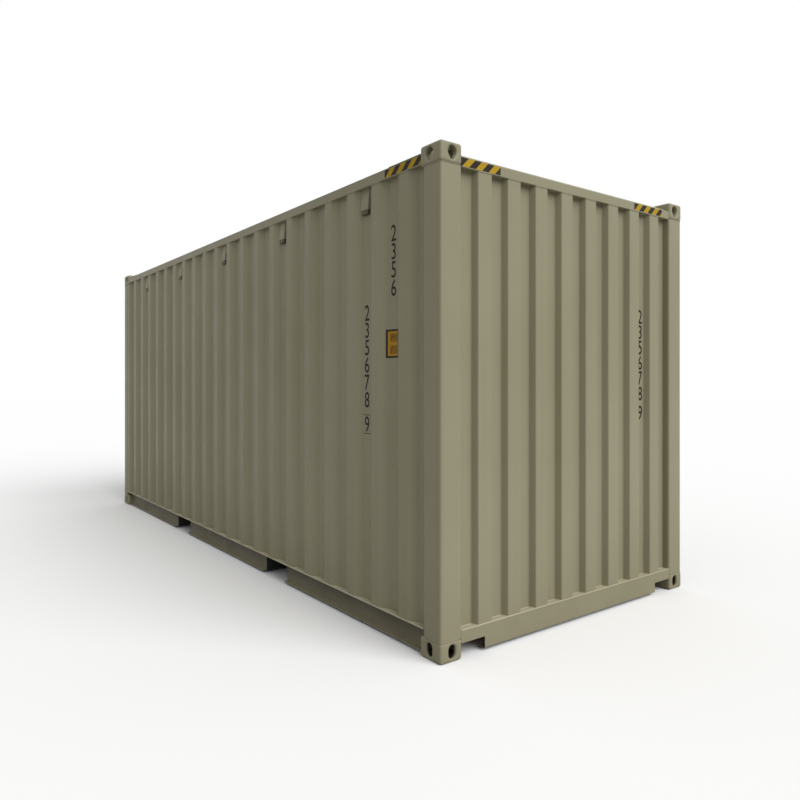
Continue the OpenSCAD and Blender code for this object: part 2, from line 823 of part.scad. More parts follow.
// Levers: the inner bars' levers point outwards and the outer bars' levers point inwards
lever_z = guide_z[floor((door_grooves - 2) / 2)];
lever_rows = [for (s = [-1, 1], k = [0, 1])
    k == 0 ? [s * inner_bar, s, lever_z + lever_offset] : [s * outer_bar, -s, lever_z - lever_offset]];
lever_out = bar_e + lever_t / 2;

module door_handles()
    color(zinc)
        for (p = lever_rows)
            translate([-half_l + bar_e, p[0], p[2]]) mirror([0, p[1] < 0 ? 1 : 0, 0])
                difference() {
                    union() {
                        cylinder(h = lever_hub_h, r = bar_r + lever_hub_t, center = true);
                        block([-lever_t / 2, bar_r, -lever_h / 2], [lever_t / 2, lever_l, lever_h / 2]);
                    }
                    cylinder(h = lever_hub_h + cut_over, r = bar_r + gear_gap, center = true);
                }

// Catches carry the free ends of the levers
module handle_catches()
    color(zinc)
        for (p = lever_rows)
            translate([-half_l, p[0] + p[1] * (lever_l - catch_w), p[2] - lever_h / 2 - gear_gap])
                along_y(-catch_w / 2, catch_w / 2) {
                    plate = door_setback - gear_plate;
                    lip = lever_out - lever_t;
                    polygon([[door_setback, -catch_over], [door_setback, lever_h + catch_over],
                             [plate, lever_h + catch_over], [plate, 0],
                             [lip - gear_gap, 0], [lip - gear_gap, catch_lip],
                             [lip - gear_plate, catch_lip], [lip - gear_plate, -catch_shelf],
                             [plate, -catch_shelf], [plate, -catch_over]]);
                }

// Hinges: a blade with its pin on the leaf, between two lugs on the post
hinge_rows = [for (i = [0 : hinges - 1])
    leaf_mid_z + (leaf_high - leaf_low) * hinge_spread * (i / (hinges - 1) - 0.5)];

module right_hinges()
    color(paint)
        at_rear_right()
            for (z = hinge_rows)
                translate([hinge_e, hinge_v, z]) {
                    cylinder(h = hinge_h, r = hinge_knuckle_r, center = true);
                    cylinder(h = hinge_h + 2 * (hinge_t + hinge_pin_over), r = hinge_pin_r, center = true);
                    block([door_setback - hinge_t - hinge_e, 0, -hinge_h / 2],
                          [door_setback - hinge_e, hinge_blade_l, hinge_h / 2]);
                    for (s = [-1, 1])
                        translate([0, 0, s * (hinge_h / 2 + gear_gap + hinge_t / 2)])
                            difference() {
                                block([-hinge_knuckle_r, rear_post_w - hinge_v, -hinge_t / 2],
                                      [hinge_knuckle_r, hinge_knuckle_r, hinge_t / 2]);
                                cylinder(h = hinge_t + cut_over, r = hinge_pin_r + gear_gap, center = true);
                            }
                }

bottom_corner_castings();
top_corner_castings();
front_right_post();
left_hand() front_right_post();  // front_left_post
rear_right_post();
left_hand() rear_right_post();  // rear_left_post
right_bottom_rail();
left_hand() right_bottom_rail();  // left_bottom_rail
fork_pocket_straps();
right_top_rail();
left_hand() right_top_rail();  // left_top_rail
front_sill();
front_top_rail();
front_header_plate();
door_sill();
door_header();
rear_header_plate();
right_side_wall();
left_hand() right_side_wall();  // left_side_wall
front_wall();
roof_panel();
roof_corner_plates();
floor_boards();
cross_members();
fork_pockets();
fork_pocket_tops();
right_vents();
left_hand() right_vents();  // left_vents
right_door_frame();
left_hand() right_door_frame();  // left_door_frame
right_door_panel();
left_hand() right_door_panel();  // left_door_panel
right_door_seal();
left_hand() right_door_seal();  // left_door_seal
locking_bar(-outer_bar);  // right_outer_bar
locking_bar(-inner_bar);  // right_inner_bar
locking_bar(inner_bar);  // left_inner_bar
locking_bar(outer_bar);  // left_outer_bar
bar_guides();
cam_keepers();
door_handles();
handle_catches();
right_hinges();
left_hand() right_hinges();  // left_hinges
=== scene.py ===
# Steel freight container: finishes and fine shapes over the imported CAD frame, all in metres.
import math

import bmesh
import bpy
import numpy as np
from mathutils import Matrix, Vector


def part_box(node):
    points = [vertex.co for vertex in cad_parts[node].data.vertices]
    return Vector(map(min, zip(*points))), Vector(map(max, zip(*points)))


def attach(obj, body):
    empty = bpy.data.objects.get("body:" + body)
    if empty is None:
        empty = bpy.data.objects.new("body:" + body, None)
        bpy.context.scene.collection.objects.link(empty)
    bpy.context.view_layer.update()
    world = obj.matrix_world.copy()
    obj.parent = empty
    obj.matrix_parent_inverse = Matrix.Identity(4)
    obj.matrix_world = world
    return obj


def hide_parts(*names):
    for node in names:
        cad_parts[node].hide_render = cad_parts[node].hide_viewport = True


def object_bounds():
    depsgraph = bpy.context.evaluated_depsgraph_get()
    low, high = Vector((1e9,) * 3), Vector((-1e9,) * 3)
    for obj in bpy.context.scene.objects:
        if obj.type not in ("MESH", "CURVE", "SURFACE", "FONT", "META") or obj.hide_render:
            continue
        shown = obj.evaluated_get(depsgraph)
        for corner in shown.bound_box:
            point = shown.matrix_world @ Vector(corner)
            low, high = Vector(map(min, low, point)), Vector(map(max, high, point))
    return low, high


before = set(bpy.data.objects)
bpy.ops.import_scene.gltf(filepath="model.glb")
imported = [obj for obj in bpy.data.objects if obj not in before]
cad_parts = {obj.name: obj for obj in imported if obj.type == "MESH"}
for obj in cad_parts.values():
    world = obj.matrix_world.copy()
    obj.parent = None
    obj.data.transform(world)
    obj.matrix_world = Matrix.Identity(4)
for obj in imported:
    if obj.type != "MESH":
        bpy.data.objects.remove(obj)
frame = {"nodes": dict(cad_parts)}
cadBox = [list(corner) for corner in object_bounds()]
nodes = frame["nodes"]
frontX, sideY = cadBox[1][0], cadBox[1][1]      # outer faces of the corner castings
print("frame:", len(nodes), "CAD nodes, half length", round(frontX, 3), "half width", round(sideY, 3))


# camera: fitted to the corners in the photograph, with upright verticals
viewer = dict(place=(5.782, -3.674, 1.568), tilt=90, turn=54.264, lens=30.143, sensor=36.0, far=200.0,
              shiftX=0.0370, shiftY=-0.0245)


def placed(name, data):
    made = bpy.data.objects.new(name, data)
    bpy.context.collection.objects.link(made)
    return made


camera = bpy.data.cameras.new("viewer")
camera.lens, camera.sensor_width, camera.clip_end = viewer["lens"], viewer["sensor"], viewer["far"]
camera.shift_x, camera.shift_y = viewer["shiftX"], viewer["shiftY"]
cameraObject = placed("viewer", camera)
cameraObject.location = viewer["place"]
cameraObject.rotation_euler = (math.radians(viewer["tilt"]), 0, math.radians(viewer["turn"]))
bpy.context.scene.camera = cameraObject
print("camera set")


def srgb(r, g, b):
    # display value 0-255 to scene light: ((c + 0.055) / 1.055) ^ 2.4 above the toe
    c = np.array([r, g, b]) / 255
    return tuple(np.where(c > 0.04045, ((c + 0.055) / 1.055) ** 2.4, c / 12.92).tolist()) + (1.0,)


def addNode(near, kind, inputs=None, **options):
    # shader node in the tree of another node or socket: options are its properties, inputs values or sockets
    tree = near.id_data
    node = tree.nodes.new("ShaderNode" + kind)
    for name, value in options.items():
        setattr(node, name, value)
    for name, value in (inputs or {}).items():
        if isinstance(value, bpy.types.NodeSocket):
            tree.links.new(value, node.inputs[name])
        else:
            node.inputs[name].default_value = value
    return node


def calc(operation, a, b=0.5, clamp=False):
    return addNode(a, "Math", {0: a, 1: b}, operation=operation, use_clamp=clamp).outputs[0]


def times(a, b):
    return calc("MULTIPLY", a, b)


def apart(a, b):
    return calc("ABSOLUTE", calc("SUBTRACT", a, b))


def mixColour(factor, a, b):
    return addNode(factor, "Mix", {0: factor, 6: a, 7: b}, data_type="RGBA").outputs[2]


def remap(value, low, high, toLow, toHigh):
    return addNode(value, "MapRange", {0: value, 1: low, 2: high, 3: toLow, 4: toHigh}).outputs[0]


def noise(place, scale, detail=3.0, roughness=0.55):
    inputs = {"Vector": place, "Scale": scale, "Detail": detail, "Roughness": roughness}
    return addNode(place, "TexNoise", inputs).outputs[0]


noiseSpan = (0.3, 0.7)      # nearly all of a noise value lies in here


def spread(value, low, high):
    return remap(value, *noiseSpan, low, high)


def stretched(place, scale):
    return addNode(place, "Mapping", {"Vector": place, "Scale": scale}).outputs[0]


def splitAxes(vector):
    return addNode(vector, "SeparateXYZ", {0: vector}).outputs


def bumped(height, strength, distance, below=None):
    inputs = {"Height": height, "Strength": strength, "Distance": distance}
    if below is not None:
        inputs["Normal"] = below
    return addNode(height, "Bump", inputs).outputs[0]


def newMaterial(name):
    material = bpy.data.materials.new(name)
    material.use_nodes = True
    shader = material.node_tree.nodes["Principled BSDF"]
    return material, shader, addNode(shader, "TexCoord").outputs["Object"]


def linkInto(node, name, socket):
    node.id_data.links.new(socket, node.inputs[name])


def finishShader(shader, colour, rough, normal, shine=0.5):
    shader.inputs["Specular IOR Level"].default_value = shine
    linkInto(shader, "Base Color", colour)
    linkInto(shader, "Roughness", rough)
    linkInto(shader, "Normal", normal)


# paint: spray coat with slow colour drift, faint run-off streaks, road dust at the foot and orange peel;
# in every look a noise is (scale, detail, roughness), a span is the part of it that counts
# and a bump is (strength, distance)
# coat is the dark underbody colour, also used for the painted shade under the rails' top flange
paintLook = dict(colour=srgb(149, 144, 119), deep=srgb(142, 137, 111), drift=(0.8, 4), driftSpan=(0.35, 0.68),
                 dust=srgb(112, 103, 82), runs=(1.6, 5, 0.6), runScale=(9, 9, 0.35), runSpan=(0.52, 0.78),
                 streak=0.10, cloud=(3.2, 6, 0.65), cloudSpan=(0.3, 0.75), cloudLeast=0.15, dustFoot=0.05,
                 dustTop=0.85, dustFall=2.2, dustShare=0.30, dustRough=0.7, patches=(6.5, 4),
                 roughness=(0.39, 0.53), shine=0.24, peel=(520, 2, 0.5), peelBump=(0.05, 0.0005),
                 sand=(190, 2, 0.5), sandBump=(0.22, 0.0008), dents=(5.5, 2), dentBump=(0.10, 0.004),
                 coat=srgb(30, 29, 27), coatRough=0.18)
# how far a face's normal leans before it counts as looking inwards, down or along
facingSpan = dict(inward=(-0.7, -0.5), down=(-0.75, -0.55), ends=(0.55, 0.75))


def coatMask(place, outward, along, cutTop):
    # one on faces that look inwards or down, and on cut edges below cutTop that look along the rail
    facing = splitAxes(addNode(place, "NewGeometry").outputs["True Normal"])
    outwards = times(facing[outward[0]], outward[1])
    inward = remap(outwards, *facingSpan["inward"], 1, 0)
    down = remap(facing[2], *facingSpan["down"], 1, 0)
    ends = remap(calc("ABSOLUTE", facing[along]), *facingSpan["ends"], 0, 1)
    ends = times(ends, calc("LESS_THAN", splitAxes(place)[2], cutTop))
    return calc("MAXIMUM", calc("MAXIMUM", down, inward), ends)


def insideMask(place, low, high, soft=0.006):
    # one where |x|, |y| and z all lie between low and high, fading over soft
    axes = splitAxes(place)
    sizes = [calc("ABSOLUTE", axes[0]), calc("ABSOLUTE", axes[1]), axes[2]]
    bands = [times(remap(value, bottom, bottom + soft, 0, 1), remap(value, top - soft, top, 1, 0))
             for value, bottom, top in zip(sizes, low, high)]
    return times(times(bands[0], bands[1]), bands[2])


def paintFinish(name, look, cast=False, coated=None, hidden=None, dusty=1.0):
    material, shader, place = newMaterial(name)
    drift = noise(place, *look["drift"])
    colour = mixColour(remap(drift, *look["driftSpan"], 0, 1), look["deep"], look["colour"])
    runs = noise(stretched(place, look["runScale"]), *look["runs"])
    colour = mixColour(remap(runs, *look["runSpan"], 0, look["streak"]), colour, look["dust"])
    foot = remap(splitAxes(place)[2], look["dustFoot"], look["dustTop"], 1, 0)
    cloud = remap(noise(place, *look["cloud"]), *look["cloudSpan"], look["cloudLeast"], 1)
    dust = times(calc("POWER", foot, look["dustFall"]), cloud)
    dust = times(dust, look["dustShare"] * dusty)
    colour = mixColour(dust, colour, look["dust"])
    rough = spread(noise(place, *look["patches"]), *look["roughness"])
    rough = calc("ADD", rough, times(dust, look["dustRough"]), clamp=True)
    skin = "sand" if cast else "peel"
    normal = bumped(noise(place, *look[skin]), *look[skin + "Bump"])
    normal = bumped(noise(place, *look["dents"]), *look["dentBump"], normal)
    if coated:
        dark = coatMask(place, *coated)
        colour = mixColour(dark, colour, look["coat"])
        rough = calc("ADD", rough, times(dark, look["coatRough"]), clamp=True)
    # hidden places darkened towards the coat colour; under the rails' top flange this is painted shade
    if hidden:
        low, high, least, most = hidden
        darkening = remap(splitAxes(place)[2], low[2], high[2], least, most)
        darkening = times(insideMask(place, low, high), darkening)
        colour = mixColour(darkening, colour, look["coat"])
    finishShader(shader, colour, rough, normal, look["shine"])
    return material


# underbody: thick dark wax coat, lumpy and dusty; figures: dark vinyl with scuffs;
# a share is (from, to) of the noise, then how much of the fleck colour shows there
waxLook = dict(colour=srgb(33, 32, 30), fleck=srgb(92, 84, 70), flecks=(4.5, 6, 0.65),
               share=(0.42, 0.8, 0, 0.22), relief=(85, 3), roughness=(0.45, 0.70),
               bump=(0.35, 0.0015), shine=0.5)
vinylLook = dict(colour=srgb(28, 22, 14), fleck=srgb(44, 40, 34), flecks=(75, 5, 0.7),
                 share=(0.5, 0.85, 0, 0.6), relief=(75, 5, 0.7), roughness=(0.5, 0.7),
                 bump=(0.05, 0.0003), shine=0.2)


def fleckFinish(name, look):
    material, shader, place = newMaterial(name)
    flecks = remap(noise(place, *look["flecks"]), *look["share"])
    relief = noise(place, *look["relief"])
    finishShader(shader, mixColour(flecks, look["colour"], look["fleck"]),
                 spread(relief, *look["roughness"]), bumped(relief, *look["bump"]), look["shine"])
    return material


# floor boards: rotary-cut plywood, grain along the container
plyLook = dict(light=srgb(172, 128, 84), dark=srgb(121, 84, 50), grain=(2.2, 6, 0.62),
               grainScale=(1.1, 26, 26), grainSpan=(0.3, 0.72), figure=(1.7, 3), figureScale=(0.7, 4.5, 4.5),
               figureShare=(0.45, 1), roughness=(0.6, 0.8), bump=(0.25, 0.0008))


def plyFinish(name, look):
    material, shader, place = newMaterial(name)
    grain = noise(stretched(place, look["grainScale"]), *look["grain"])
    swirl = noise(stretched(place, look["figureScale"]), *look["figure"])
    light = times(remap(grain, *look["grainSpan"], 0, 1), spread(swirl, *look["figureShare"]))
    finishShader(shader, mixColour(light, look["dark"], look["light"]),
                 spread(grain, *look["roughness"]), bumped(grain, *look["bump"]))
    return material


# door seals: dull rubber with a little dust
sealLook = dict(colour=srgb(27, 27, 27), dust=srgb(84, 79, 70), cloud=(9, 5), cloudSpan=(0.48, 0.8),
                share=0.3, skin=(260, 2), roughness=(0.66, 0.85), bump=(0.15, 0.0006))


def sealFinish(name, look):
    material, shader, place = newMaterial(name)
    cloud = remap(noise(place, *look["cloud"]), *look["cloudSpan"], 0, look["share"])
    finishShader(shader, mixColour(cloud, look["colour"], look["dust"]),
                 remap(cloud, 0, look["share"], *look["roughness"]),
                 bumped(noise(place, *look["skin"]), *look["bump"]))
    return material


# door gear: hot-dipped zinc with a cell pattern and dull patches
zincLook = dict(colour=srgb(172, 174, 172), dull=srgb(126, 128, 126), cells=95.0, cellShare=(0.55, 1),
                patch=(11, 4), patchShare=(0.5, 1), skin=(240, 3), roughness=(0.57, 0.37),
                bump=(0.12, 0.0005), metal=0.8)


def zincFinish(name, look):
    material, shader, place = newMaterial(name)
    cells = addNode(place, "TexVoronoi", {"Vector": place, "Scale": look["cells"]}, feature="F1")
    cell = splitAxes(cells.outputs["Color"])[0]
    patch = noise(place, *look["patch"])
    bright = times(remap(cell, 0, 1, *look["cellShare"]), spread(patch, *look["patchShare"]))
    finishShader(shader, mixColour(bright, look["dull"], look["colour"]),
                 spread(patch, *look["roughness"]),
                 bumped(noise(place, *look["skin"]), *look["bump"]))
    shader.inputs["Metallic"].default_value = look["metal"]
    return material


# films: hazard bars on a rail, and a yellow plate with a dark rim
filmLook = dict(plate=srgb(178, 132, 26), yellow=srgb(176, 142, 16), oldYellow=srgb(146, 118, 34),
                black=srgb(28, 22, 14), oldBlack=srgb(44, 40, 34), pitch=0.104, ripple=(240, 2), wander=0.012,
                barScuff=(60, 5, 0.7), barWorn=(0.55, 0.85, 0, 0.5), barBump=(0.05, 0.0004),
                scuff=(75, 5, 0.7), worn=(0.5, 0.85, 0, 0.6), bump=(0.05, 0.0003), roughness=(0.5, 0.7),
                shine=0.2, fieldAt=0.42, fieldHalf=(0.56, 0.29), mottle=(95, 3, 0.6),
                mottleShare=(0.36, 0.62, 0.25, 0.8))


def hazardFinish(name, look, axis, start):
    # bars lean 45 degrees: fraction((along - z - start) / pitch) below one half is yellow
    material, shader, place = newMaterial(name)
    axes = splitAxes(place)
    along = calc("SUBTRACT", calc("SUBTRACT", axes[axis], axes[2]), start)
    bar = calc("FRACT", calc("DIVIDE", along, look["pitch"]))
    wander = spread(noise(place, *look["ripple"]), -look["wander"], look["wander"])
    mask = calc("LESS_THAN", calc("ADD", bar, wander), 0.5)
    scuff = noise(place, *look["barScuff"])
    worn = remap(scuff, *look["barWorn"])
    black = mixColour(worn, look["black"], look["oldBlack"])
    yellow = mixColour(worn, look["yellow"], look["oldYellow"])
    finishShader(shader, mixColour(mask, black, yellow), spread(scuff, *look["roughness"]),
                 bumped(scuff, *look["barBump"]), look["shine"])
    return material


def plateFinish(name, look, centre, half, rim):
    # dark where the point lies within rim of an edge; brown in two blank fields, above and below the middle
    material, shader, place = newMaterial(name)
    axes = splitAxes(place)
    fromX = apart(axes[0], centre[0])
    fromZ = apart(axes[2], centre[1])
    fromField = apart(fromZ, half[1] * look["fieldAt"])
    field = times(calc("LESS_THAN", fromX, half[0] * look["fieldHalf"][0]),
                  calc("LESS_THAN", fromField, half[1] * look["fieldHalf"][1]))
    dark = calc("MAXIMUM", calc("GREATER_THAN", fromX, half[0] - rim),
                calc("GREATER_THAN", fromZ, half[1] - rim))
    scuff = noise(place, *look["scuff"])
    yellow = mixColour(remap(scuff, *look["worn"]), look["plate"], look["oldYellow"])
    share = remap(noise(place, *look["mottle"]), *look["mottleShare"])
    yellow = mixColour(times(field, share), yellow, look["black"])
    finishShader(shader, mixColour(dark, yellow, look["black"]),
                 spread(scuff, *look["roughness"]), bumped(scuff, *look["bump"]), look["shine"])
    return material


paint = paintFinish("paint", paintLook)
roofPaint = paintFinish("roof_paint", paintLook, dusty=0.0)
castPaint = paintFinish("cast_paint", paintLook, cast=True)
# hidden places are darkened towards the wax colour, under the rails' top flange as painted shade: two corners
# of |x|, |y|, z, then the share at the bottom and at the top;
# reach, wall and lip are measured inwards from the outer faces of the castings
darkened = dict(footReach=(0.168, 0.152), footWall=0.012, footSpan=(0.010, 0.108), footShare=(0.96, 0.96),
             flangeReach=0.099, flangeLip=0.043, flangeTop=0.162, flangeShare=(0.15, 0.80))
# inside the bottom castings: faces darkened almost to the wax colour
insideFoot = ((frontX - darkened["footReach"][0], sideY - darkened["footReach"][1], darkened["footSpan"][0]),
              (frontX - darkened["footWall"], sideY - darkened["footWall"], darkened["footSpan"][1]),
              *darkened["footShare"])
# painted shade on the rails' recessed web under the top flange, darker towards the top
shadeUnderFlange = ((0.0, sideY - darkened["flangeReach"], 0.0),
               (frontX, sideY - darkened["flangeLip"], darkened["flangeTop"]), *darkened["flangeShare"])
footPaint = paintFinish("foot_paint", paintLook, cast=True, hidden=insideFoot)
# pale sealant: its colour is partly the sealant's own and partly painted light standing in for the sky light
# on the ledges and the highlight along the rail's edge
caulkAndPaintedLight = paintFinish("caulkAndPaintedLight", dict(paintLook, colour=srgb(186, 181, 155), deep=srgb(172, 166, 140)), dusty=0.4)
# dark paint for the vents' mouths: painted shade where the hoods' open bottoms lie in shade
shade = paintFinish("shade", dict(paintLook, colour=srgb(84, 80, 58), deep=srgb(70, 66, 48)), dusty=0.0)
# a coated rail says which way it faces (axis, sign), which axis it runs along and how high its cut-outs reach
railCut, sillCut = 0.14, 0.09
# the bottom rails also carry painted shade on the web under their top flange
coatedRails = (("right_bottom_rail", "right_rail_paint", ((1, -1.0), 0, railCut), shadeUnderFlange),
               ("left_bottom_rail", "left_rail_paint", ((1, 1.0), 0, railCut), shadeUnderFlange),
               ("fork_pocket_straps", "strap_paint", ((2, 1.0), 0, railCut), None),
               ("front_sill", "front_sill_paint", ((0, 1.0), 1, sillCut), None),
               ("door_sill", "door_sill_paint", ((0, -1.0), 1, sillCut), None))
coatedPaint = {node: paintFinish(name, paintLook, coated=coat, hidden=darkening)
               for node, name, coat, darkening in coatedRails}
wax = fleckFinish("underbody_wax", waxLook)
plywood = plyFinish("plywood", plyLook)
rubber = sealFinish("seal_rubber", sealLook)
zinc = zincFinish("zinc", zincLook)
vinyl = fleckFinish("vinyl", vinylLook)

finishOf = dict.fromkeys(nodes, paint)
finishOf.update(coatedPaint)
finishOf.update(bottom_corner_castings=footPaint, top_corner_castings=castPaint, floor_boards=plywood)
roofNodes = ("front_header_plate", "rear_header_plate", "roof_panel", "roof_corner_plates")
for finish, names in ((roofPaint, roofNodes),
                      (wax, ("cross_members", "fork_pockets", "fork_pocket_tops")),
                      (rubber, ("right_door_seal", "left_door_seal")),
                      (zinc, ("bar_guides", "cam_keepers", "door_handles", "handle_catches"))):
    finishOf.update(dict.fromkeys(names, finish))
for nodeName, finish in finishOf.items():
    nodes[nodeName].data.materials.clear()
    nodes[nodeName].data.materials.append(finish)
print("finishes on", len(finishOf), "CAD nodes")

# castings: fine even mesh, then each point drawn towards its neighbours, which rounds the cast edges
castSkin = dict(cell=0.005, share=0.5, rounds=16)
for nodeName in ("bottom_corner_castings", "top_corner_castings"):
    even = nodes[nodeName].modifiers.new("even", "REMESH")
    even.mode, even.voxel_size, even.use_smooth_shade = "VOXEL", castSkin["cell"], True
    soft = nodes[nodeName].modifiers.new("soft", "SMOOTH")
    soft.factor, soft.iterations = castSkin["share"], castSkin["rounds"]
print("castings rounded")


def unit(v):
    return v / np.linalg.norm(v, axis=-1, keepdims=True)


def stacked(*axes):
    # points from x, y and z arrays of matching shapes
    return np.stack(np.broadcast_arrays(*axes), -1)


def smoothStep(t):
    t = np.clip(t, 0, 1)
    return t * t * (3 - 2 * t)


def roundedPath(corners, radius, steps, support=0.0015):
    # each inner corner becomes an arc about corner + bisector * radius / sin(half angle),
    # with one more point on either flat so that the flats shade flat
    a, b, c = corners[:-2], corners[1:-1], corners[2:]
    u, w = unit(a - b), unit(c - b)
    half = np.arccos(np.clip((u * w).sum(-1, keepdims=True), -1, 1)) / 2
    reach = radius / np.tan(half)
    centre = b + unit(u + w) * radius / np.sin(half)
    start, end = b + u * reach - centre, b + w * reach - centre
    s = np.linspace(0, 1, steps + 1)[None, :, None]
    arc = centre[:, None] + radius * unit(start[:, None] * (1 - s) + end[:, None] * s)
    before, after = b + u * (reach + support), b + w * (reach + support)
    bends = np.concatenate([before[:, None], arc, after[:, None]], axis=1).reshape(-1, 2)
    return np.concatenate([corners[:1], bends, corners[-1:]])


def offsetPath(path, distance):
    # each point moves along its mitre, by distance / cos(half the turn)
    along = unit(np.diff(path, axis=0))
    normal = np.stack([-along[:, 1], along[:, 0]], -1)
    before, after = np.concatenate([normal[:1], normal]), np.concatenate([normal, normal[-1:]])
    mitre = unit(before + after)
    return path + mitre * distance / (mitre * before).sum(-1, keepdims=True)


def resampled(path, step):
    # points about one step apart along a polyline, its length shared evenly
    run = np.concatenate([[0], np.cumsum(np.linalg.norm(np.diff(path, axis=0), axis=1))])
    s = np.linspace(0, run[-1], int(run[-1] / step) + 2)
    return np.stack([np.interp(s, run, path[:, k]) for k in range(path.shape[1])], -1), s


def gridCells(index):
    return np.stack([index[:-1, :-1], index[:-1, 1:], index[1:, 1:], index[1:, :-1]], -1).reshape(-1, 4)


def shellBetween(outer, inner):
    # closed sheet: two grids of the same size, the second one reversed, and a rim of quads round both
    rows, columns = outer.shape[:2]
    count = rows * columns
    index = np.arange(count).reshape(rows, columns)
    rim = np.concatenate([index[0, :-1], index[:-1, -1], index[-1, :0:-1], index[:0:-1, 0]])
    after = np.roll(rim, -1)
    faces = np.concatenate([gridCells(index), gridCells(index)[:, ::-1] + count,
                            np.stack([after, rim, rim + count, after + count], -1)])
    return np.concatenate([outer.reshape(-1, 3), inner.reshape(-1, 3)]), faces.tolist()


def ringSkin(points):
    # closed skin: rings of points joined by quads, with a flat cap on the first and the last ring
    rows, columns = points.shape[:2]
    index = np.arange(rows * columns).reshape(rows, columns)
    faces = gridCells(np.concatenate([index, index[:, :1]], axis=1)).tolist()
    return points.reshape(-1, 3), faces + [index[0].tolist()[::-1], index[-1].tolist()]


def turned(profile, centre, axis=2, sides=20):
    # profile of (radius, height) turned about one axis through the centre
    profile = np.asarray(profile, dtype=float)
    a = np.linspace(0, 2 * np.pi, sides, endpoint=False)
    ring = [profile[:, :1] * np.cos(a), profile[:, :1] * np.sin(a)]
    ring.insert(axis, np.repeat(profile[:, 1:], sides, axis=1))
    return ringSkin(np.stack(ring, -1) + np.asarray(centre))


def roundedBlock(low, high, radius, steps=2):
    # ball pulled apart to a box: box corner less radius, plus radius * direction
    low, high = np.minimum(low, high), np.maximum(low, high)
    quarter = np.linspace(0, 90, steps + 1)
    turn = np.radians(np.concatenate([quarter + 90 * q for q in range(4)]))[None]
    lift = np.radians(np.concatenate([quarter - 90, quarter]))[:, None]
    toX, toY = np.repeat([1, -1, -1, 1], steps + 1)[None], np.repeat([1, 1, -1, -1], steps + 1)[None]
    toZ = np.repeat([-1, 1], steps + 1)[:, None]
    direction = stacked(np.cos(lift) * np.cos(turn), np.cos(lift) * np.sin(turn), np.sin(lift))
    corner = stacked(toX, toY, toZ)
    return ringSkin((low + high) / 2 + corner * ((high - low) / 2 - radius) + radius * direction)


def swept(path, radius, sides=6):
    # circle carried along a level path: point + radius * (cos a * side + sin a * up), side = tangent x up
    side = unit(np.cross(np.gradient(path, axis=0), [0, 0, 1]))
    a = np.linspace(0, 2 * np.pi, sides, endpoint=False)[None, :, None]
    ring = np.cos(a) * side[:, None] + np.sin(a) * np.array([0, 0, 1])
    return ringSkin(path[:, None] + np.reshape(radius, (-1, 1, 1)) * ring)


def softSquare(power, sides=20):
    # outline between a circle and a square: sign * |cos|^power, sign * |sin|^power
    a = np.linspace(0, 2 * np.pi, sides, endpoint=False)
    return np.sign(np.cos(a)) * np.abs(np.cos(a)) ** power, np.sign(np.sin(a)) * np.abs(np.sin(a)) ** power


# bolt heads: dome of (radius, height), both of them shares of the radius
bolt = dict(dome=np.array([[0, 0.54], [0.45, 0.48], [0.8, 0.3], [1, 0.0], [1, -0.24]]), sides=10)


def boltHeads(spots, radius):
    # domes at the given spots on the door end, rising outwards
    return [turned(bolt["dome"] * [radius, -radius], spot, 0, bolt["sides"]) for spot in spots]


def makePiece(name, shells, finish=paint, sharp=34, stands=(), merge=1e-6):
    # shells are (points, faces); each one is closed by merging its own doubles, normals outward
    starts = np.cumsum([0] + [len(points) for points, faces in shells]).tolist()
    faces = [[v + start for v in face] for (points, cells), start in zip(shells, starts) for face in cells]
    mesh = bpy.data.meshes.new(name)
    mesh.from_pydata(np.concatenate([points for points, cells in shells]).tolist(), [], faces)
    tidy = bmesh.new()
    tidy.from_mesh(mesh)
    for start, end in reversed(list(zip(starts[:-1], starts[1:]))):
        tidy.verts.ensure_lookup_table()
        bmesh.ops.remove_doubles(tidy, verts=tidy.verts[start:end], dist=merge)
    bmesh.ops.recalc_face_normals(tidy, faces=tidy.faces)
    tidy.to_mesh(mesh)
    tidy.free()
    mesh.polygons.foreach_set("use_smooth", np.ones(len(mesh.polygons), dtype=bool))
    mesh.set_sharp_from_angle(angle=math.radians(sharp))
    mesh.materials.append(finish)
    piece = placed(name, mesh)
    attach(piece, "root")
    if stands:
        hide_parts(*stands)
    return piece


def mirrored(shells):
    return [(points * [1, -1, 1], faces) for points, faces in shells]


def bothSides(name, shells, finish=paint, stands=()):
    # the shells of the right-hand side as one piece, and their mirror image as another
    for label, handed in (("right_", shells), ("left_", mirrored(shells))):
        makePiece(label + name, handed, finish, stands=[label + node for node in stands])


hands = (("right", -1), ("left", 1))
# sheet wave: radians per metre of its sine and its cosine, how far the sine bends and how soon it all fades
slowWave = dict(along=(2.3, 0.9), up=(1.7, 3.1), bend=1.1, fade=5)


def sheetWave(along, height, span, amount):
    # slow pull of the welds: two crossed sines, faded to nothing at the foot and the head
    t = (height - span[0]) / (span[1] - span[0])
    fade = np.clip(slowWave["fade"] * t * (1 - t), 0, 1)
    (sineAlong, cosineAlong), (sineUp, cosineUp) = slowWave["along"], slowWave["up"]
    sine = np.sin(sineAlong * along + slowWave["bend"] * np.sin(sineUp * height))
    return amount * fade * sine * np.cos(cosineUp * height + cosineAlong * along)


def ridgeCorners(centres, flat, slope, depth):
    # four corners of each trapezoid ridge, in order along the wall
    step = np.array([[-flat / 2 - slope, depth], [-flat / 2, 0], [flat / 2, 0], [flat / 2 + slope, depth]])
    return (np.stack([np.sort(centres), np.zeros_like(centres)], -1)[:, None] + step).reshape(-1, 2)


def cutCorners(corners, low, high, keep):
    # the stretch from low to high, with its end depths read off the slopes
    inside = corners[(corners[:, 0] > low + keep) & (corners[:, 0] < high - keep)]
    ends = np.interp([low, high], corners[:, 0], corners[:, 1])
    return np.concatenate([[[low, ends[0]]], inside, [[high, ends[1]]]])


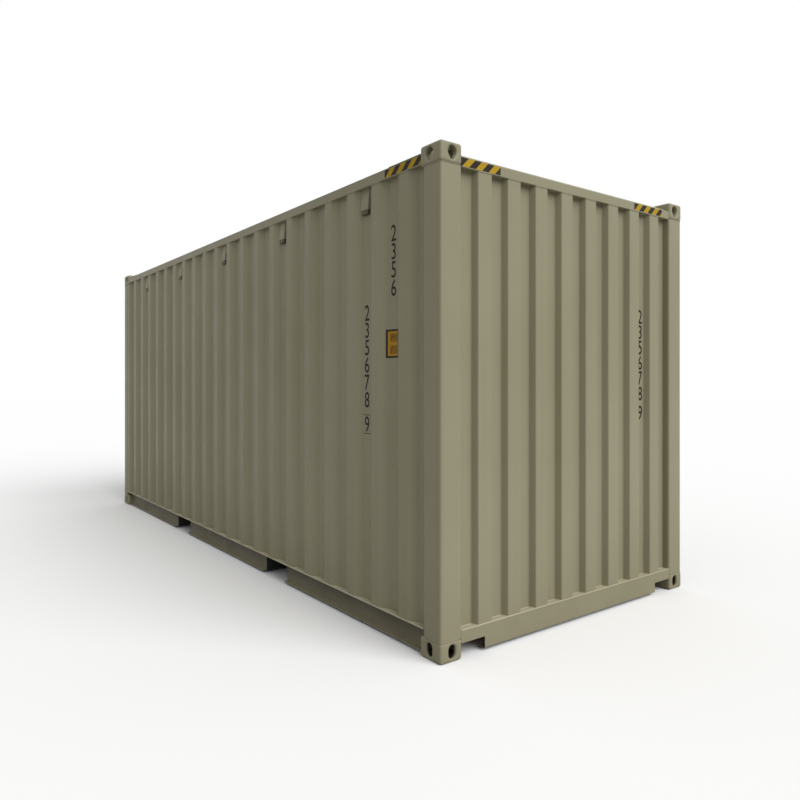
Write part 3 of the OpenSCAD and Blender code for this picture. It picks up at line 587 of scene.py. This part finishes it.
def wallProfile(centres, wall, low, high):
    # section of a corrugated sheet from low to high with rounded bends, as (along, depth)
    corners = ridgeCorners(centres, wall["flat"], wall["slope"], wall["depth"])
    return roundedPath(cutCorners(corners, low, high, 2 * wall["bend"]), wall["bend"], wall["steps"])


# side walls: ridges counted from the front end, stepped down where the sheet passes under a casting
sideWall = dict(pitch=0.2787, flat=0.072, slope=0.068, depth=0.036, first=0.338, ridges=23, sheet=0.002,
                bend=0.011, steps=5, rows=22, wave=0.0007, stepRun=0.0005)
sideLow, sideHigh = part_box("right_side_wall")
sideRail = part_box("right_top_rail")
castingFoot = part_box("top_corner_castings")[0].z
sideRidge = -sideLow.y
sideSpan = (sideLow.z, sideHigh.z)
sideCentres = frontX - sideWall["first"] - sideWall["pitch"] * np.arange(sideWall["ridges"])
sideBends = wallProfile(sideCentres, sideWall, sideLow.x, sideHigh.x)
stepLines = np.add.outer([sideRail[0].x, sideRail[1].x], [-sideWall["stepRun"], sideWall["stepRun"]]).ravel()
sideAlong = np.sort(np.concatenate([sideBends[:, 0], stepLines]))
sideProfile = np.stack([sideAlong, np.interp(sideAlong, sideBends[:, 0], sideBends[:, 1])], -1)
underRail = np.abs(sideAlong) < sideRail[1].x


def sideOut(x, depth, up):
    # how far the sheet stands out from the middle: ridge plane less depth and wave
    return sideRidge - depth - sheetWave(x, up, sideSpan, sideWall["wave"])


def sideSkin(profile, rows, hand):
    # x along, y out, z from the foot to the head of each column
    along, depth = profile[None, :, 0], profile[None, :, 1]
    head = np.where(underRail[None], sideHigh.z, castingFoot)
    up = sideLow.z + rows[:, None] * (head - sideLow.z)
    return stacked(along, hand * sideOut(along, depth, up), up)


sideRows = np.linspace(0, 1, sideWall["rows"])
for label, hand in hands:
    makePiece(label + "_wall_sheet",
              [shellBetween(sideSkin(sideProfile, sideRows, hand),
                            sideSkin(offsetPath(sideProfile, sideWall["sheet"]), sideRows, hand))],
              stands=(label + "_side_wall",))
print("side walls:", len(sideProfile), "points across")


# front wall: steep ridges between the posts
frontWall = dict(pitch=0.2477, flat=0.110, slope=0.018, depth=0.045, ridges=8, sheet=0.002,
                 bend=0.009, steps=5, rows=20, wave=0.0006)
frontLow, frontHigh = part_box("front_wall")
frontSpan = (frontLow.z, frontHigh.z)
frontCentres = (np.arange(frontWall["ridges"]) - (frontWall["ridges"] - 1) / 2) * frontWall["pitch"]
frontProfile = wallProfile(frontCentres, frontWall, frontLow.y, frontHigh.y)


def frontOut(y, depth, up):
    return frontHigh.x - depth - sheetWave(y, up, frontSpan, frontWall["wave"])


def frontSkin(profile, heights):
    # y along, x out, z up
    along, depth = profile[None, :, 0], profile[None, :, 1]
    up = heights[:, None]
    return stacked(frontOut(along, depth, up), along, up)


frontRows = np.linspace(*frontSpan, frontWall["rows"])
makePiece("front_wall_sheet",
          [shellBetween(frontSkin(frontProfile, frontRows),
                        frontSkin(offsetPath(frontProfile, frontWall["sheet"]), frontRows))],
          stands=("front_wall",))
print("front wall:", len(frontProfile), "points across")


# roof: z = sheet + rib height * rib(x) * end(y), both of them smooth steps, with a slight camber;
# the lines of the mesh run a little past each step
roofSheet = dict(pitch=0.209, ends=0.118, flat=0.087, slope=0.022, height=0.018, margin=0.150, run=0.05,
                 sheet=0.0012, camber=0.0015, past=0.1, ribSteps=11, endSteps=13, middle=0.8, middleSteps=9)
roofLow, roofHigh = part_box("roof_panel")
ribCount = int((roofHigh.x - roofLow.x - roofSheet["ends"]) / roofSheet["pitch"])
ribCentres = (np.arange(ribCount) - (ribCount - 1) / 2) * roofSheet["pitch"]
stepSpan = (-roofSheet["past"], 1 + roofSheet["past"])
ribSide = roofSheet["flat"] / 2 + roofSheet["slope"] * np.linspace(*stepSpan, roofSheet["ribSteps"])
ribLines = np.concatenate([-ribSide[::-1], [0], ribSide])
roofX = np.sort(np.concatenate([[roofLow.x, roofHigh.x], (ribCentres[:, None] + ribLines).ravel()]))
roofEnd = sideY - roofSheet["margin"]
endLines = roofEnd - roofSheet["run"] * np.linspace(*stepSpan[::-1], roofSheet["endSteps"])
middleLines = np.linspace(-roofSheet["middle"], roofSheet["middle"], roofSheet["middleSteps"])
roofY = np.concatenate([[-roofHigh.y], -endLines[::-1], middleLines, endLines, [roofHigh.y]])
fromRib = np.abs(roofX[:, None] - ribCentres).min(1)
ribRise = 1 - smoothStep((fromRib - roofSheet["flat"] / 2) / roofSheet["slope"])
endRise = smoothStep((roofEnd - np.abs(roofY)) / roofSheet["run"])
camber = roofSheet["camber"] * (1 - (roofY / roofHigh.y) ** 2)
roofZ = roofLow.z + roofSheet["sheet"] + roofSheet["height"] * ribRise[:, None] * endRise + camber
roofGrid = stacked(roofX[:, None], roofY[None], roofZ)
makePiece("roof_sheet", [shellBetween(roofGrid, roofGrid - [0, 0, roofSheet["sheet"]])], roofPaint,
          stands=("roof_panel",))
print("roof:", roofGrid.shape[0], "x", roofGrid.shape[1], "points")


# door skins: level grooves pressed into each leaf
doorSkin = dict(grooves=5, floor=0.072, slope=0.060, depth=0.032, sheet=0.002, bend=0.012, steps=5,
                columns=12)


def doorShell(low, high):
    # z up the leaf, x = outer face inwards by the groove, y across
    step = (high.z - low.z) / doorSkin["grooves"]
    centres = low.z + (np.arange(doorSkin["grooves"]) + 0.5) * step
    corners = ridgeCorners(centres, doorSkin["floor"], doorSkin["slope"], doorSkin["depth"])
    corners[:, 1] = doorSkin["depth"] - corners[:, 1]
    corners = np.concatenate([[[low.z, 0]], corners, [[high.z, 0]]])
    path = roundedPath(corners, doorSkin["bend"], doorSkin["steps"])
    across = np.linspace(low.y, high.y, doorSkin["columns"])[None]

    def face(lift):
        return stacked(low.x + path[:, None, 1] + lift, across, path[:, None, 0])

    return shellBetween(face(0.0), face(doorSkin["sheet"]))


for label in ("right", "left"):
    panel = label + "_door_panel"
    makePiece(label + "_door_skin", [doorShell(*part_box(panel))], stands=(panel,))
print("door skins made")


# ventilators: bent hoods in the hollows under the top rail, leaning back towards the top over a dark block in
# the mouth that is painted shade;
# each end of a hood has its half width, the depth of its knee and the depth of its face
vent = dict(hollows=slice(1, 18, 4), lower=(0.040, 0.0325, 0.0140), upper=(0.037, 0.0338, 0.0268),
            foot=0.0348, back=0.0355, bend=0.0020, support=0.0003, sheet=0.0012, steps=4, rows=14,
            lean=(-0.15, 1.05), mouth=0.029, mouthOut=0.0165, overlap=0.004, edge=0.002)
ventLow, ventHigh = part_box("right_vents")
ventCentres = sideCentres[vent["hollows"]] - sideWall["pitch"] / 2
mouthTop = ventLow.z + vent["mouth"]
ventRows = np.linspace(mouthTop, ventHigh.z, vent["rows"])
ventLean = smoothStep(np.linspace(*vent["lean"], vent["rows"]))[:, None, None]


def ventOutline(half, knee, out):
    side = np.array([[vent["foot"], vent["back"]], [half, knee], [half, out]])
    outline = np.concatenate([side * [-1, 1], side[::-1]])
    return roundedPath(outline, vent["bend"], vent["steps"], vent["support"])


ventEnds = [ventOutline(*vent["lower"]), ventOutline(*vent["upper"])]


def ventShell(centre):
    # lower outline * (1 - lean) + upper outline * lean, with its wall inside
    def face(lower, upper):
        path = lower * (1 - ventLean) + upper * ventLean
        return stacked(centre + path[..., 0], ventLow.y + path[..., 1], ventRows[:, None])

    return shellBetween(face(*ventEnds), face(*[offsetPath(end, vent["sheet"]) for end in ventEnds]))


bothSides("vent_hoods", [ventShell(centre) for centre in ventCentres], stands=("vents",))
# dark blocks in the hoods' mouths: painted shade
mouthLow = np.array([-vent["foot"], ventLow.y + vent["mouthOut"], ventLow.z])
mouthHigh = np.array([vent["foot"], ventLow.y + vent["back"], mouthTop + vent["overlap"]])
mouthShades = [roundedBlock(mouthLow + [centre, 0, 0], mouthHigh + [centre, 0, 0], vent["edge"])
          for centre in ventCentres]
bothSides("vent_mouth_shades", mouthShades, shade)
print("ventilators:", len(ventCentres), "a side")


# welds: small rippled beads where sheets meet rails and where posts meet castings, with pale sealant on the
# ledges whose colour is partly its own and partly painted light, the sky light on the ledges and the lit edge
# of the rail
weld = dict(radius=0.0032, foot=0.0034, edge=0.0042, seam=0.0030, ripple=0.16, every=0.016, step=0.004,
            sunk=0.001, ledge=0.0012, ledgeIn=0.003, ledgeEdge=0.0005)


def beadAlong(path, radius):
    points, run = resampled(path, weld["step"])
    return swept(points, radius * (1 + weld["ripple"] * np.sin(2 * np.pi * run / weld["every"])))


def levelPath(flat, z):
    return np.concatenate([flat, np.full((len(flat), 1), z)], axis=1)


sideOuter = np.stack([sideProfile[:, 0], -sideRidge + sideProfile[:, 1]], -1)
rail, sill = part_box("right_bottom_rail"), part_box("front_sill")
railEdge = np.array([[end.x, rail[0].y + weld["sunk"]] for end in rail])
sillEdge = np.array([[sill[1].x - weld["sunk"], end.y] for end in sill])


def caulkShells(wall, foot, edge, top, low, high):
    # bead at the wall's foot, bead along the rail's edge, and a flat strip between them from low to high
    return [beadAlong(levelPath(wall, foot + weld["sunk"]), weld["foot"]),
            beadAlong(levelPath(edge, top), weld["edge"]),
            roundedBlock((*low, top - weld["ledgeEdge"]), (*high, top + weld["ledge"]), weld["ledgeEdge"])]


railStrip = (rail[0].x, rail[0].y + weld["ledgeIn"]), (rail[1].x, sideOuter[:, 1].max())
bothSides("wall_caulk_and_painted_light", caulkShells(sideOuter, sideLow.z, railEdge, rail[1].z, *railStrip), caulkAndPaintedLight)
sideHead = levelPath(sideOuter[underRail], sideHigh.z - weld["sunk"])
bothSides("wall_weld", [beadAlong(sideHead, weld["radius"])])
frontOuter = np.stack([frontHigh.x - frontProfile[:, 1], frontProfile[:, 0]], -1)
sillStrip = (frontOuter[:, 0].min(), sill[0].y), (sill[1].x - weld["ledgeIn"], sill[1].y)
makePiece("front_wall_caulk_and_painted_light", caulkShells(frontOuter, frontLow.z, sillEdge, sill[1].z, *sillStrip), caulkAndPaintedLight)
# fillet where the sill ends at its cut-out
fillet = dict(back=0.012, out=0.001, half=0.005, foot=0.090, edge=0.004, steps=3)
filletLow = (sill[1].x - fillet["back"], sill[0].y - fillet["half"], fillet["foot"])
filletHigh = (sill[1].x + fillet["out"], sill[0].y + fillet["half"], sill[1].z)
sillEnd = [roundedBlock(filletLow, filletHigh, fillet["edge"], fillet["steps"])]
makePiece("sill_welds", sillEnd + mirrored(sillEnd))
makePiece("front_wall_weld", [beadAlong(levelPath(frontOuter, frontHigh.z - weld["sunk"]), weld["radius"])])

# seams round the outer corners of the posts, (margin, bend, steps) each
seam = dict(front=(0.012, 0.014, 6), rear=(0.006, 0.006, 4))
frontPost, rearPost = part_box("front_right_post"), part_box("rear_right_post")


def cornerPath(outX, innerX, post, margin, bend, steps):
    # along one face of the post to its corner at outX and on along the other, margin short of both ends
    back = innerX + math.copysign(margin, outX)
    path = np.array([[outX, post[1].y - margin], [outX, post[0].y], [back, post[0].y]])
    return roundedPath(path, bend, steps)


corners = (cornerPath(frontPost[1].x, frontPost[0].x, frontPost, *seam["front"]),
           cornerPath(rearPost[0].x, rearPost[1].x, rearPost, *seam["rear"]))
seams = [beadAlong(levelPath(corner, z), weld["seam"]) for corner in corners
         for z in (frontPost[1].z - weld["sunk"], frontPost[0].z + weld["sunk"])]
makePiece("post_welds", seams + mirrored(seams))
print("welds made")


# hazard films: thin sheets on the rails beside the top castings
film = dict(thick=0.0004, under=0.007, over=0.005, side=0.340, front=((-1.057, -0.743), (0.614, 0.963)),
            doors=((0.540, 0.868), (0.990, 1.140)), doorUnder=0.022, doorOver=0.012)
frontRail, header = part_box("front_top_rail"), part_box("door_header")


def slab(low, high):
    # flat film as a closed box, its thin way first
    grid = np.stack(np.meshgrid(*np.stack([low, high], -1), indexing="ij"), -1)
    grid = np.moveaxis(grid, int(np.argmin(np.abs(np.subtract(high, low)))), 0)
    return shellBetween(grid[1], grid[0])


def hazardPiece(name, slabs, axis, start):
    makePiece(name, slabs, hazardFinish(name, filmLook, axis, start))


for label, hand in hands:
    face = hand * -sideRail[0].y
    low = sideRail[1].x - film["side"]
    hazardPiece("hazard_side_" + label,
                [slab((low, face, sideRail[0].z + film["under"]),
                      (low + film["side"], face + hand * film["thick"], sideRail[1].z - film["over"]))],
                0, low - sideRail[0].z)
    hazardPiece("hazard_door_" + label,
                [slab((header[0].x - film["thick"], hand * low, header[0].z + film["doorUnder"]),
                      (header[0].x, hand * high, header[1].z - film["doorOver"]))
                 for low, high in film["doors"]],
                1, hand * film["doors"][0][0] - header[0].z)
for label, (low, high) in zip(("right", "left"), film["front"]):
    hazardPiece("hazard_end_" + label,
                [slab((frontRail[1].x, low, frontRail[0].z + film["under"]),
                      (frontRail[1].x + film["thick"], high, frontRail[1].z - film["over"]))],
                1, low - frontRail[0].z)
print("hazard films made")


# figures: plain digits in upright columns, as thin vinyl
figure = dict(height=0.101, bold=0.006, stretch=0.78, pitch=0.1115, lift=0.0003, thick=0.0003, frame=0.004,
              frameHalf=0.040, frameOver=0.011, aside=0.014, short=("2356", 2.518), long="235678",
              longTop=2.052, last="9", lastTop=1.337, endTop=2.080, endLastTop=1.385, endHollow=6, sharp=30)


def figureFace(text):
    # one digit's outline as a thin solid: width about 0, height from 0 to 1, thickness from 0 to 1
    curve = bpy.data.curves.new("figure", "FONT")
    curve.body, curve.extrude, curve.offset = text, 0.5, figure["bold"]
    holder = bpy.data.objects.new("figure", curve)
    mesh = bpy.data.meshes.new_from_object(holder)
    points = np.empty(len(mesh.vertices) * 3)
    mesh.vertices.foreach_get("co", points)
    points = points.reshape(-1, 3)
    low, high = points.min(0), points.max(0)
    size = high[1] - low[1]
    points = (points - [(low[0] + high[0]) / 2, low[1], low[2]]) / [size, size, high[2] - low[2]]
    faces = [list(polygon.vertices) for polygon in mesh.polygons]
    bpy.data.objects.remove(holder)
    bpy.data.curves.remove(curve)
    bpy.data.meshes.remove(mesh)
    return points, faces


faceOf = {digit: figureFace(digit) for digit in "2356789"}


def column(text, top, place):
    # digits one pitch apart downwards; place puts (across, up, out) on the wall
    shells = []
    for k, digit in enumerate(text):
        points, faces = faceOf[digit]
        across = points[:, 0] * figure["height"] * figure["stretch"]
        up = top - k * figure["pitch"] - (1 - points[:, 1]) * figure["height"]
        shells.append((place(across, up, figure["lift"] + points[:, 2] * figure["thick"]), faces))
    return shells


def squareFrame(top, place):
    # thin frame round one digit: two rectangles, outer and inner, joined as a flat ring with a thickness
    half = np.array([figure["frameHalf"], figure["height"] / 2 + figure["frameOver"]])
    corners = np.array([[-1, -1], [1, -1], [1, 1], [-1, 1]])
    middle = np.array([0, top - figure["height"] / 2])
    rings = [(corners * (half - inset) + middle, lift) for inset, lift in
             ((0, 0), (0, figure["thick"]), (figure["frame"], figure["thick"]), (figure["frame"], 0))]
    points = np.stack([place(*ring.T, np.full(4, figure["lift"] + lift)) for ring, lift in rings])
    index = np.arange(16).reshape(4, 4)
    closed = np.concatenate([index, index[:1]])
    return points.reshape(-1, 3), gridCells(np.concatenate([closed, closed[:, :1]], axis=1)).tolist()


def onSide(centre, hand):
    # the wall's own wave seats the film on the hollow's floor
    def place(across, up, out):
        x = centre - hand * across
        return np.stack([x, hand * (sideOut(x, sideWall["depth"], up) + out), up], -1)

    return place


def onFront(centre):
    def place(across, up, out):
        y = centre + across
        return np.stack([frontOut(y, frontWall["depth"], up) + out, y, up], -1)

    return place


hollow = sideCentres[:2] - sideWall["pitch"] / 2
for label, hand in hands:
    near, far = onSide(hollow[0], hand), onSide(hollow[1], hand)
    makePiece("figures_" + label,
              column(*figure["short"], near) + column(figure["long"], figure["longTop"], far)
              + column(figure["last"], figure["lastTop"], far) + [squareFrame(figure["lastTop"], far)],
              vinyl, figure["sharp"])
endPlace = onFront(frontCentres[figure["endHollow"]] + frontWall["pitch"] / 2 + figure["aside"])
makePiece("figures_end", column(figure["long"], figure["endTop"], endPlace)
          + column(figure["last"], figure["endLastTop"], endPlace), vinyl, figure["sharp"])
print("figures made")


# plate: blank yellow plate that follows the hollow's slopes
plate = dict(half=(0.060, 0.0870), middle=1.7925, lift=0.0003, thick=0.0008, rim=0.012, columns=25, rows=5)
plateX = hollow[0] + plate["half"][0] * np.linspace(-1, 1, plate["columns"])[None]
plateZ = plate["middle"] + plate["half"][1] * np.linspace(-1, 1, plate["rows"])[:, None]
plateY = sideOut(plateX, np.interp(plateX, sideAlong, sideProfile[:, 1]), plateZ)
plateMetal = plateFinish("plate", filmLook, (float(hollow[0]), plate["middle"]), plate["half"], plate["rim"])


def plateFace(hand, lift):
    return stacked(plateX, hand * (plateY + lift), plateZ)


for label, hand in hands:
    makePiece("plate_" + label, [shellBetween(plateFace(hand, plate["lift"] + plate["thick"]),
                                              plateFace(hand, plate["lift"]))], plateMetal)
print("plates made")


# door gear, measured from the door end's plane; forged is an edge radius with its steps
gear = dict(setback=0.058, plate=0.008, barRadius=0.017, axis=0.026, edge=0.003, forged=(0.004, 3), sides=28,
            sunk=0.004, clear=0.0003)
faceX, axisX = gear["setback"] - frontX, gear["axis"] - frontX
plateFront = faceX - gear["plate"]


def zincPiece(name, groups, node):
    # groups of shells as one galvanised piece
    makePiece(name, [shell for group in groups for shell in group], zinc, stands=(node,))


barNodes = ("right_outer_bar", "right_inner_bar", "left_inner_bar", "left_outer_bar")
barBoxes = [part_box(name) for name in barNodes]
barRows = [(low.y + high.y) / 2 for low, high in barBoxes]
barFoot, barHead = barBoxes[0][0].z, barBoxes[0][1].z

# locking bars: tube with a forged cam at each end
cam = dict(height=0.040, collar=0.022, half=0.035, claw=0.032, tooth=0.011, toothOut=0.008, inset=0.001)
camRows = (barFoot + cam["height"] / 2, barHead - cam["height"] / 2)


def collar(radius, low, high, edge=gear["edge"]):
    # turned outline of a cylinder from low to high with bevelled rims, without its two ends on the axis
    return [(radius - edge, low), (radius, low + edge), (radius, high - edge), (radius - edge, high)]


def barShells(y):
    r, h, inset = gear["barRadius"], cam["height"], cam["inset"]
    profile = [(0, barFoot), *collar(cam["collar"], barFoot, barFoot + h), (r, barFoot + h + inset),
               (r, barHead - h - inset), *collar(cam["collar"], barHead - h, barHead), (0, barHead)]
    shells = [turned(profile, (axisX, y, 0), 2, gear["sides"])]
    for z in camRows:
        low, high = z - cam["claw"] / 2, z + cam["claw"] / 2
        span = cam["half"] - inset
        shells.append(roundedBlock((axisX, y - span, low + inset),
                                   (axisX + r - inset, y + span, high - inset), *gear["forged"]))
        shells += [roundedBlock((axisX - cam["toothOut"], y + s * (cam["half"] - cam["tooth"]), low),
                                (axisX + r, y + s * cam["half"], high), *gear["forged"]) for s in (-1, 1)]
    return shells


for name, y in zip(barNodes, barRows):
    makePiece(name + "_tube", barShells(y), stands=(name,))

# guides: plate, strap bent round the bar and two bolts
guide = dict(half=0.051, height=0.040, plateHeight=0.060, cover=0.006, sunk=0.001, arc=15, rim=0.0015, rows=4,
             bolt=0.0075, boltIn=0.014)
guideLow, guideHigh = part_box("bar_guides")
guideHalf = guide["plateHeight"] / 2
guideRows = np.linspace(guideLow.z + guideHalf, guideHigh.z - guideHalf, guide["rows"])
strapRadius = gear["barRadius"] + gear["clear"] + guide["cover"] / 2
strapArc = np.linspace(-np.pi / 2, np.pi / 2, guide["arc"])
strapEnd = plateFront + guide["sunk"] - axisX
strapPath = np.concatenate([[[strapEnd, -strapRadius]],
                            np.stack([-np.cos(strapArc), np.sin(strapArc)], -1) * strapRadius,
                            [[strapEnd, strapRadius]]])


def guideShells(y, z):
    h, half = guide["height"] / 2, guide["half"]
    up = z + np.array([-h, -h + guide["rim"], h - guide["rim"], h])[:, None]

    def side(shift):
        path = offsetPath(strapPath, shift)
        return stacked(axisX + path[None, :, 0], y + path[None, :, 1], up)

    back = roundedBlock((plateFront, y - half, z - guideHalf), (faceX, y + half, z + guideHalf), gear["edge"])
    strap = shellBetween(side(guide["cover"] / 2), side(-guide["cover"] / 2))
    out = half - guide["boltIn"]
    return [back, strap] + boltHeads([(plateFront, y + s * out, z) for s in (-1, 1)], guide["bolt"])


zincPiece("bar_guide_straps", [guideShells(y, z) for y in barRows for z in guideRows], "bar_guides")

# keepers: plate and two cheeks round each cam
keeper = dict(overZ=0.012, overY=0.018, gap=0.004, cheek=0.012)


def keeperShells(y, z):
    halfY, halfZ = cam["half"] + keeper["overY"], cam["height"] / 2 + keeper["overZ"]
    shells = [roundedBlock((plateFront, y - halfY, z - halfZ), (faceX, y + halfY, z + halfZ), gear["edge"])]
    for s in (-1, 1):
        inside, h = y + s * (cam["half"] + keeper["gap"]), cam["height"] / 2
        shells.append(roundedBlock((axisX - gear["barRadius"] / 2, inside, z - h),
                                   (plateFront + gear["sunk"], inside + s * keeper["cheek"], z + h),
                                   *gear["forged"]))
    return shells


zincPiece("cam_keeper_forgings", [keeperShells(y, z) for y in barRows for z in camRows], "cam_keepers")

# levers: hub on the bar and a flat arm that narrows, then swells to a grip
lever = dict(length=0.470, half=0.019, thick=0.007, hub=0.025, hubHeight=0.050, waist=0.72, swell=1.5,
             square=0.4, innerBars=0.5, tip=0.955, tipSteps=9, armSteps=20, tipLeast=0.02)
handleLow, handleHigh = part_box("door_handles")
leverRows = []
for y in barRows:
    inner = abs(y) < lever["innerBars"]
    z = handleHigh.z - lever["hubHeight"] / 2 if inner else handleLow.z + lever["hubHeight"] / 2
    leverRows.append((y, math.copysign(1, y) * (1 if inner else -1), z))


def tipped(arm):
    # stations from 0 to 1 along an arm, closer together past its tip, and a quarter circle's height there
    tip, fine = arm["tip"], np.linspace(0, np.pi / 2, arm["tipSteps"])[1:]
    t = np.concatenate([np.linspace(0, tip, arm["armSteps"]), 1 - (1 - tip) * np.cos(fine) ** 2])[:, None]
    past = np.clip((t - tip) / (1 - tip), 0, 1)
    return t, np.sqrt(np.clip(1 - past ** 2, arm["tipLeast"], 1))


def leverShells(y, way, z):
    # arm height = half * (waist + the rest * distance from the middle), rounded off at the tip
    h = lever["hubHeight"] / 2
    hub = turned([(0, -h), *collar(lever["hub"], -h, h), (0, h)], (axisX, y, z), 2, gear["sides"])
    t, roundOff = tipped(lever)
    reach = gear["barRadius"] + t * (lever["length"] - gear["barRadius"])
    fromMiddle = np.abs(2 * smoothStep(t) - 1) ** lever["swell"]
    tall = lever["half"] * (lever["waist"] + (1 - lever["waist"]) * fromMiddle)
    flat, upright = softSquare(lever["square"])
    ring = stacked(axisX + lever["thick"] * flat[None], y + way * reach, z + tall * roundOff * upright[None])
    return [hub, ringSkin(ring)]


zincPiece("door_levers", [leverShells(*row) for row in leverRows], "door_handles")

# catches: back plate, shelf with a lip under each lever's end, and two bolts
catch = dict(width=0.046, over=0.030, lip=0.014, shelf=0.012, inset=0.001, bolt=0.007, boltUnder=0.022,
             boltOver=0.018)


def catchShells(y, way, z):
    middle, w = y + way * (lever["length"] - catch["width"]), catch["width"] / 2
    foot, high = z - lever["half"] - gear["clear"], 2 * lever["half"]
    lipX, inset = axisX - lever["thick"] - gear["clear"], catch["inset"]
    spots = [(plateFront, middle, foot + up) for up in (-catch["boltUnder"], high + catch["boltOver"])]
    return [roundedBlock((plateFront, middle - w, foot - catch["over"]),
                         (faceX, middle + w, foot + high + catch["over"]), gear["edge"]),
            roundedBlock((lipX - gear["plate"] / 2, middle - w + inset, foot - catch["shelf"] + inset),
                         (plateFront + gear["sunk"], middle + w - inset, foot), gear["edge"]),
            roundedBlock((lipX - gear["plate"], middle - w, foot - catch["shelf"]),
                         (lipX, middle + w, foot + catch["lip"]), gear["edge"]),
            *boltHeads(spots, catch["bolt"])]


zincPiece("handle_catch_plates", [catchShells(*row) for row in leverRows], "handle_catches")

# hinges: blade that narrows along the leaf, knuckle, headed pin and two lugs on the post
hinge = dict(knuckle=0.017, height=0.070, blade=0.135, thick=0.012, narrow=0.25, square=0.35, rows=4,
             spread=0.84, tip=0.88, tipSteps=7, armSteps=9, tipLeast=0.04, pin=0.008, pinOver=0.008,
             head=0.003, headHeight=0.005, pinSides=20, lugIn=0.002, bolt=0.008, boltAt=(0.45, 0.75),
             boltOut=0.85)
hingeLow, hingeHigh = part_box("right_hinges")
leafLow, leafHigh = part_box("right_door_frame")
hingeX, hingeY = hingeLow.x + hinge["knuckle"], hingeHigh.y - hinge["blade"]
leafSpan = (leafHigh.z - leafLow.z) * hinge["spread"]
hingeRows = (leafLow.z + leafHigh.z) / 2 + leafSpan * np.linspace(-0.5, 0.5, hinge["rows"])


def hingeShells(z):
    # blade height falls by a quarter along its length and is rounded off at the tip
    h, k, p = hinge["height"] / 2, hinge["knuckle"], hinge["pin"]
    full, headed = h + hinge["thick"] + hinge["pinOver"], p + hinge["head"]
    under, middle = full - hinge["headHeight"], (hingeX, hingeY, z)
    t, roundOff = tipped(hinge)
    tall = h * (1 - hinge["narrow"] * smoothStep(t)) * roundOff
    thick = hinge["thick"] / 2 * (1 - hinge["narrow"] * t)
    flat, upright = softSquare(hinge["square"])
    blade = stacked(faceX - thick + thick * flat[None], hingeY + hinge["blade"] * t, z + tall * upright[None])
    shells = [ringSkin(blade), turned([(0, -h), *collar(k, -h, h), (0, h)], middle, 2, gear["sides"]),
              turned([(0, -full), (headed, -full), (headed, -under), (p, -under), (p, under), (headed, under),
                      (headed, full), (0, full)], middle, 2, hinge["pinSides"])]
    for s in (-1, 1):
        near = z + s * (h + gear["clear"])
        shells.append(roundedBlock((hingeX - k, rearPost[1].y - hinge["lugIn"], near),
                                   (hingeX + k, hingeY + k, near + s * hinge["thick"]), *gear["forged"]))
    boltX = faceX - hinge["thick"] * hinge["boltOut"]
    spots = [(boltX, hingeY + hinge["blade"] * u, z) for u in hinge["boltAt"]]
    return shells + boltHeads(spots, hinge["bolt"])


bothSides("hinge_blades", [shell for z in hingeRows for shell in hingeShells(z)], stands=("hinges",))
print("door gear made")


# stage: pale floor, white surround, soft sun on the blind end
stageLook = dict(reach=60.0, seen=1.0, bounce=0.34, world=0.516, sun=2.33, sunAngle=56, azimuth=10,
                 elevation=40)


def shownRays(near):
    # one for rays that show the background: from the camera, off gloss and through glass
    rays = addNode(near, "LightPath").outputs
    seen = calc("MAXIMUM", rays["Is Camera Ray"], rays["Is Glossy Ray"])
    return calc("MAXIMUM", seen, rays["Is Transmission Ray"])


floorMesh = bpy.data.meshes.new("floor")
reach = stageLook["reach"]
floorCorners = [(-reach, -reach, 0), (reach, -reach, 0), (reach, reach, 0), (-reach, reach, 0)]
floorMesh.from_pydata(floorCorners, [], [(0, 1, 2, 3)])
floor = placed("floor", floorMesh)
floorMaterial, floorShader = newMaterial("floor")[:2]
level = remap(shownRays(floorShader), 0, 1, stageLook["bounce"], stageLook["seen"])
grey = addNode(level, "CombineColor", {0: level, 1: level, 2: level}).outputs[0]
linkInto(floorShader, "Base Color", grey)
floorShader.inputs["Roughness"].default_value = 1.0
floorShader.inputs["Specular IOR Level"].default_value = 0.0
floorMesh.materials.append(floorMaterial)

world = bpy.data.worlds.new("surround")
bpy.context.scene.world = world
world.use_nodes = True
background = world.node_tree.nodes["Background"]
linkInto(background, "Strength", remap(shownRays(background), 0, 1, stageLook["world"], 1.0))
background.inputs["Color"].default_value = (1, 1, 1, 1)

sun = bpy.data.lights.new("sun", "SUN")
sun.energy, sun.angle = stageLook["sun"], math.radians(stageLook["sunAngle"])
sunObject = placed("sun", sun)
sunTilt, sunTurn = 90 - stageLook["elevation"], 90 + stageLook["azimuth"]
sunObject.rotation_euler = (math.radians(sunTilt), 0, math.radians(sunTurn))

bpy.context.scene.view_settings.view_transform = "Standard"
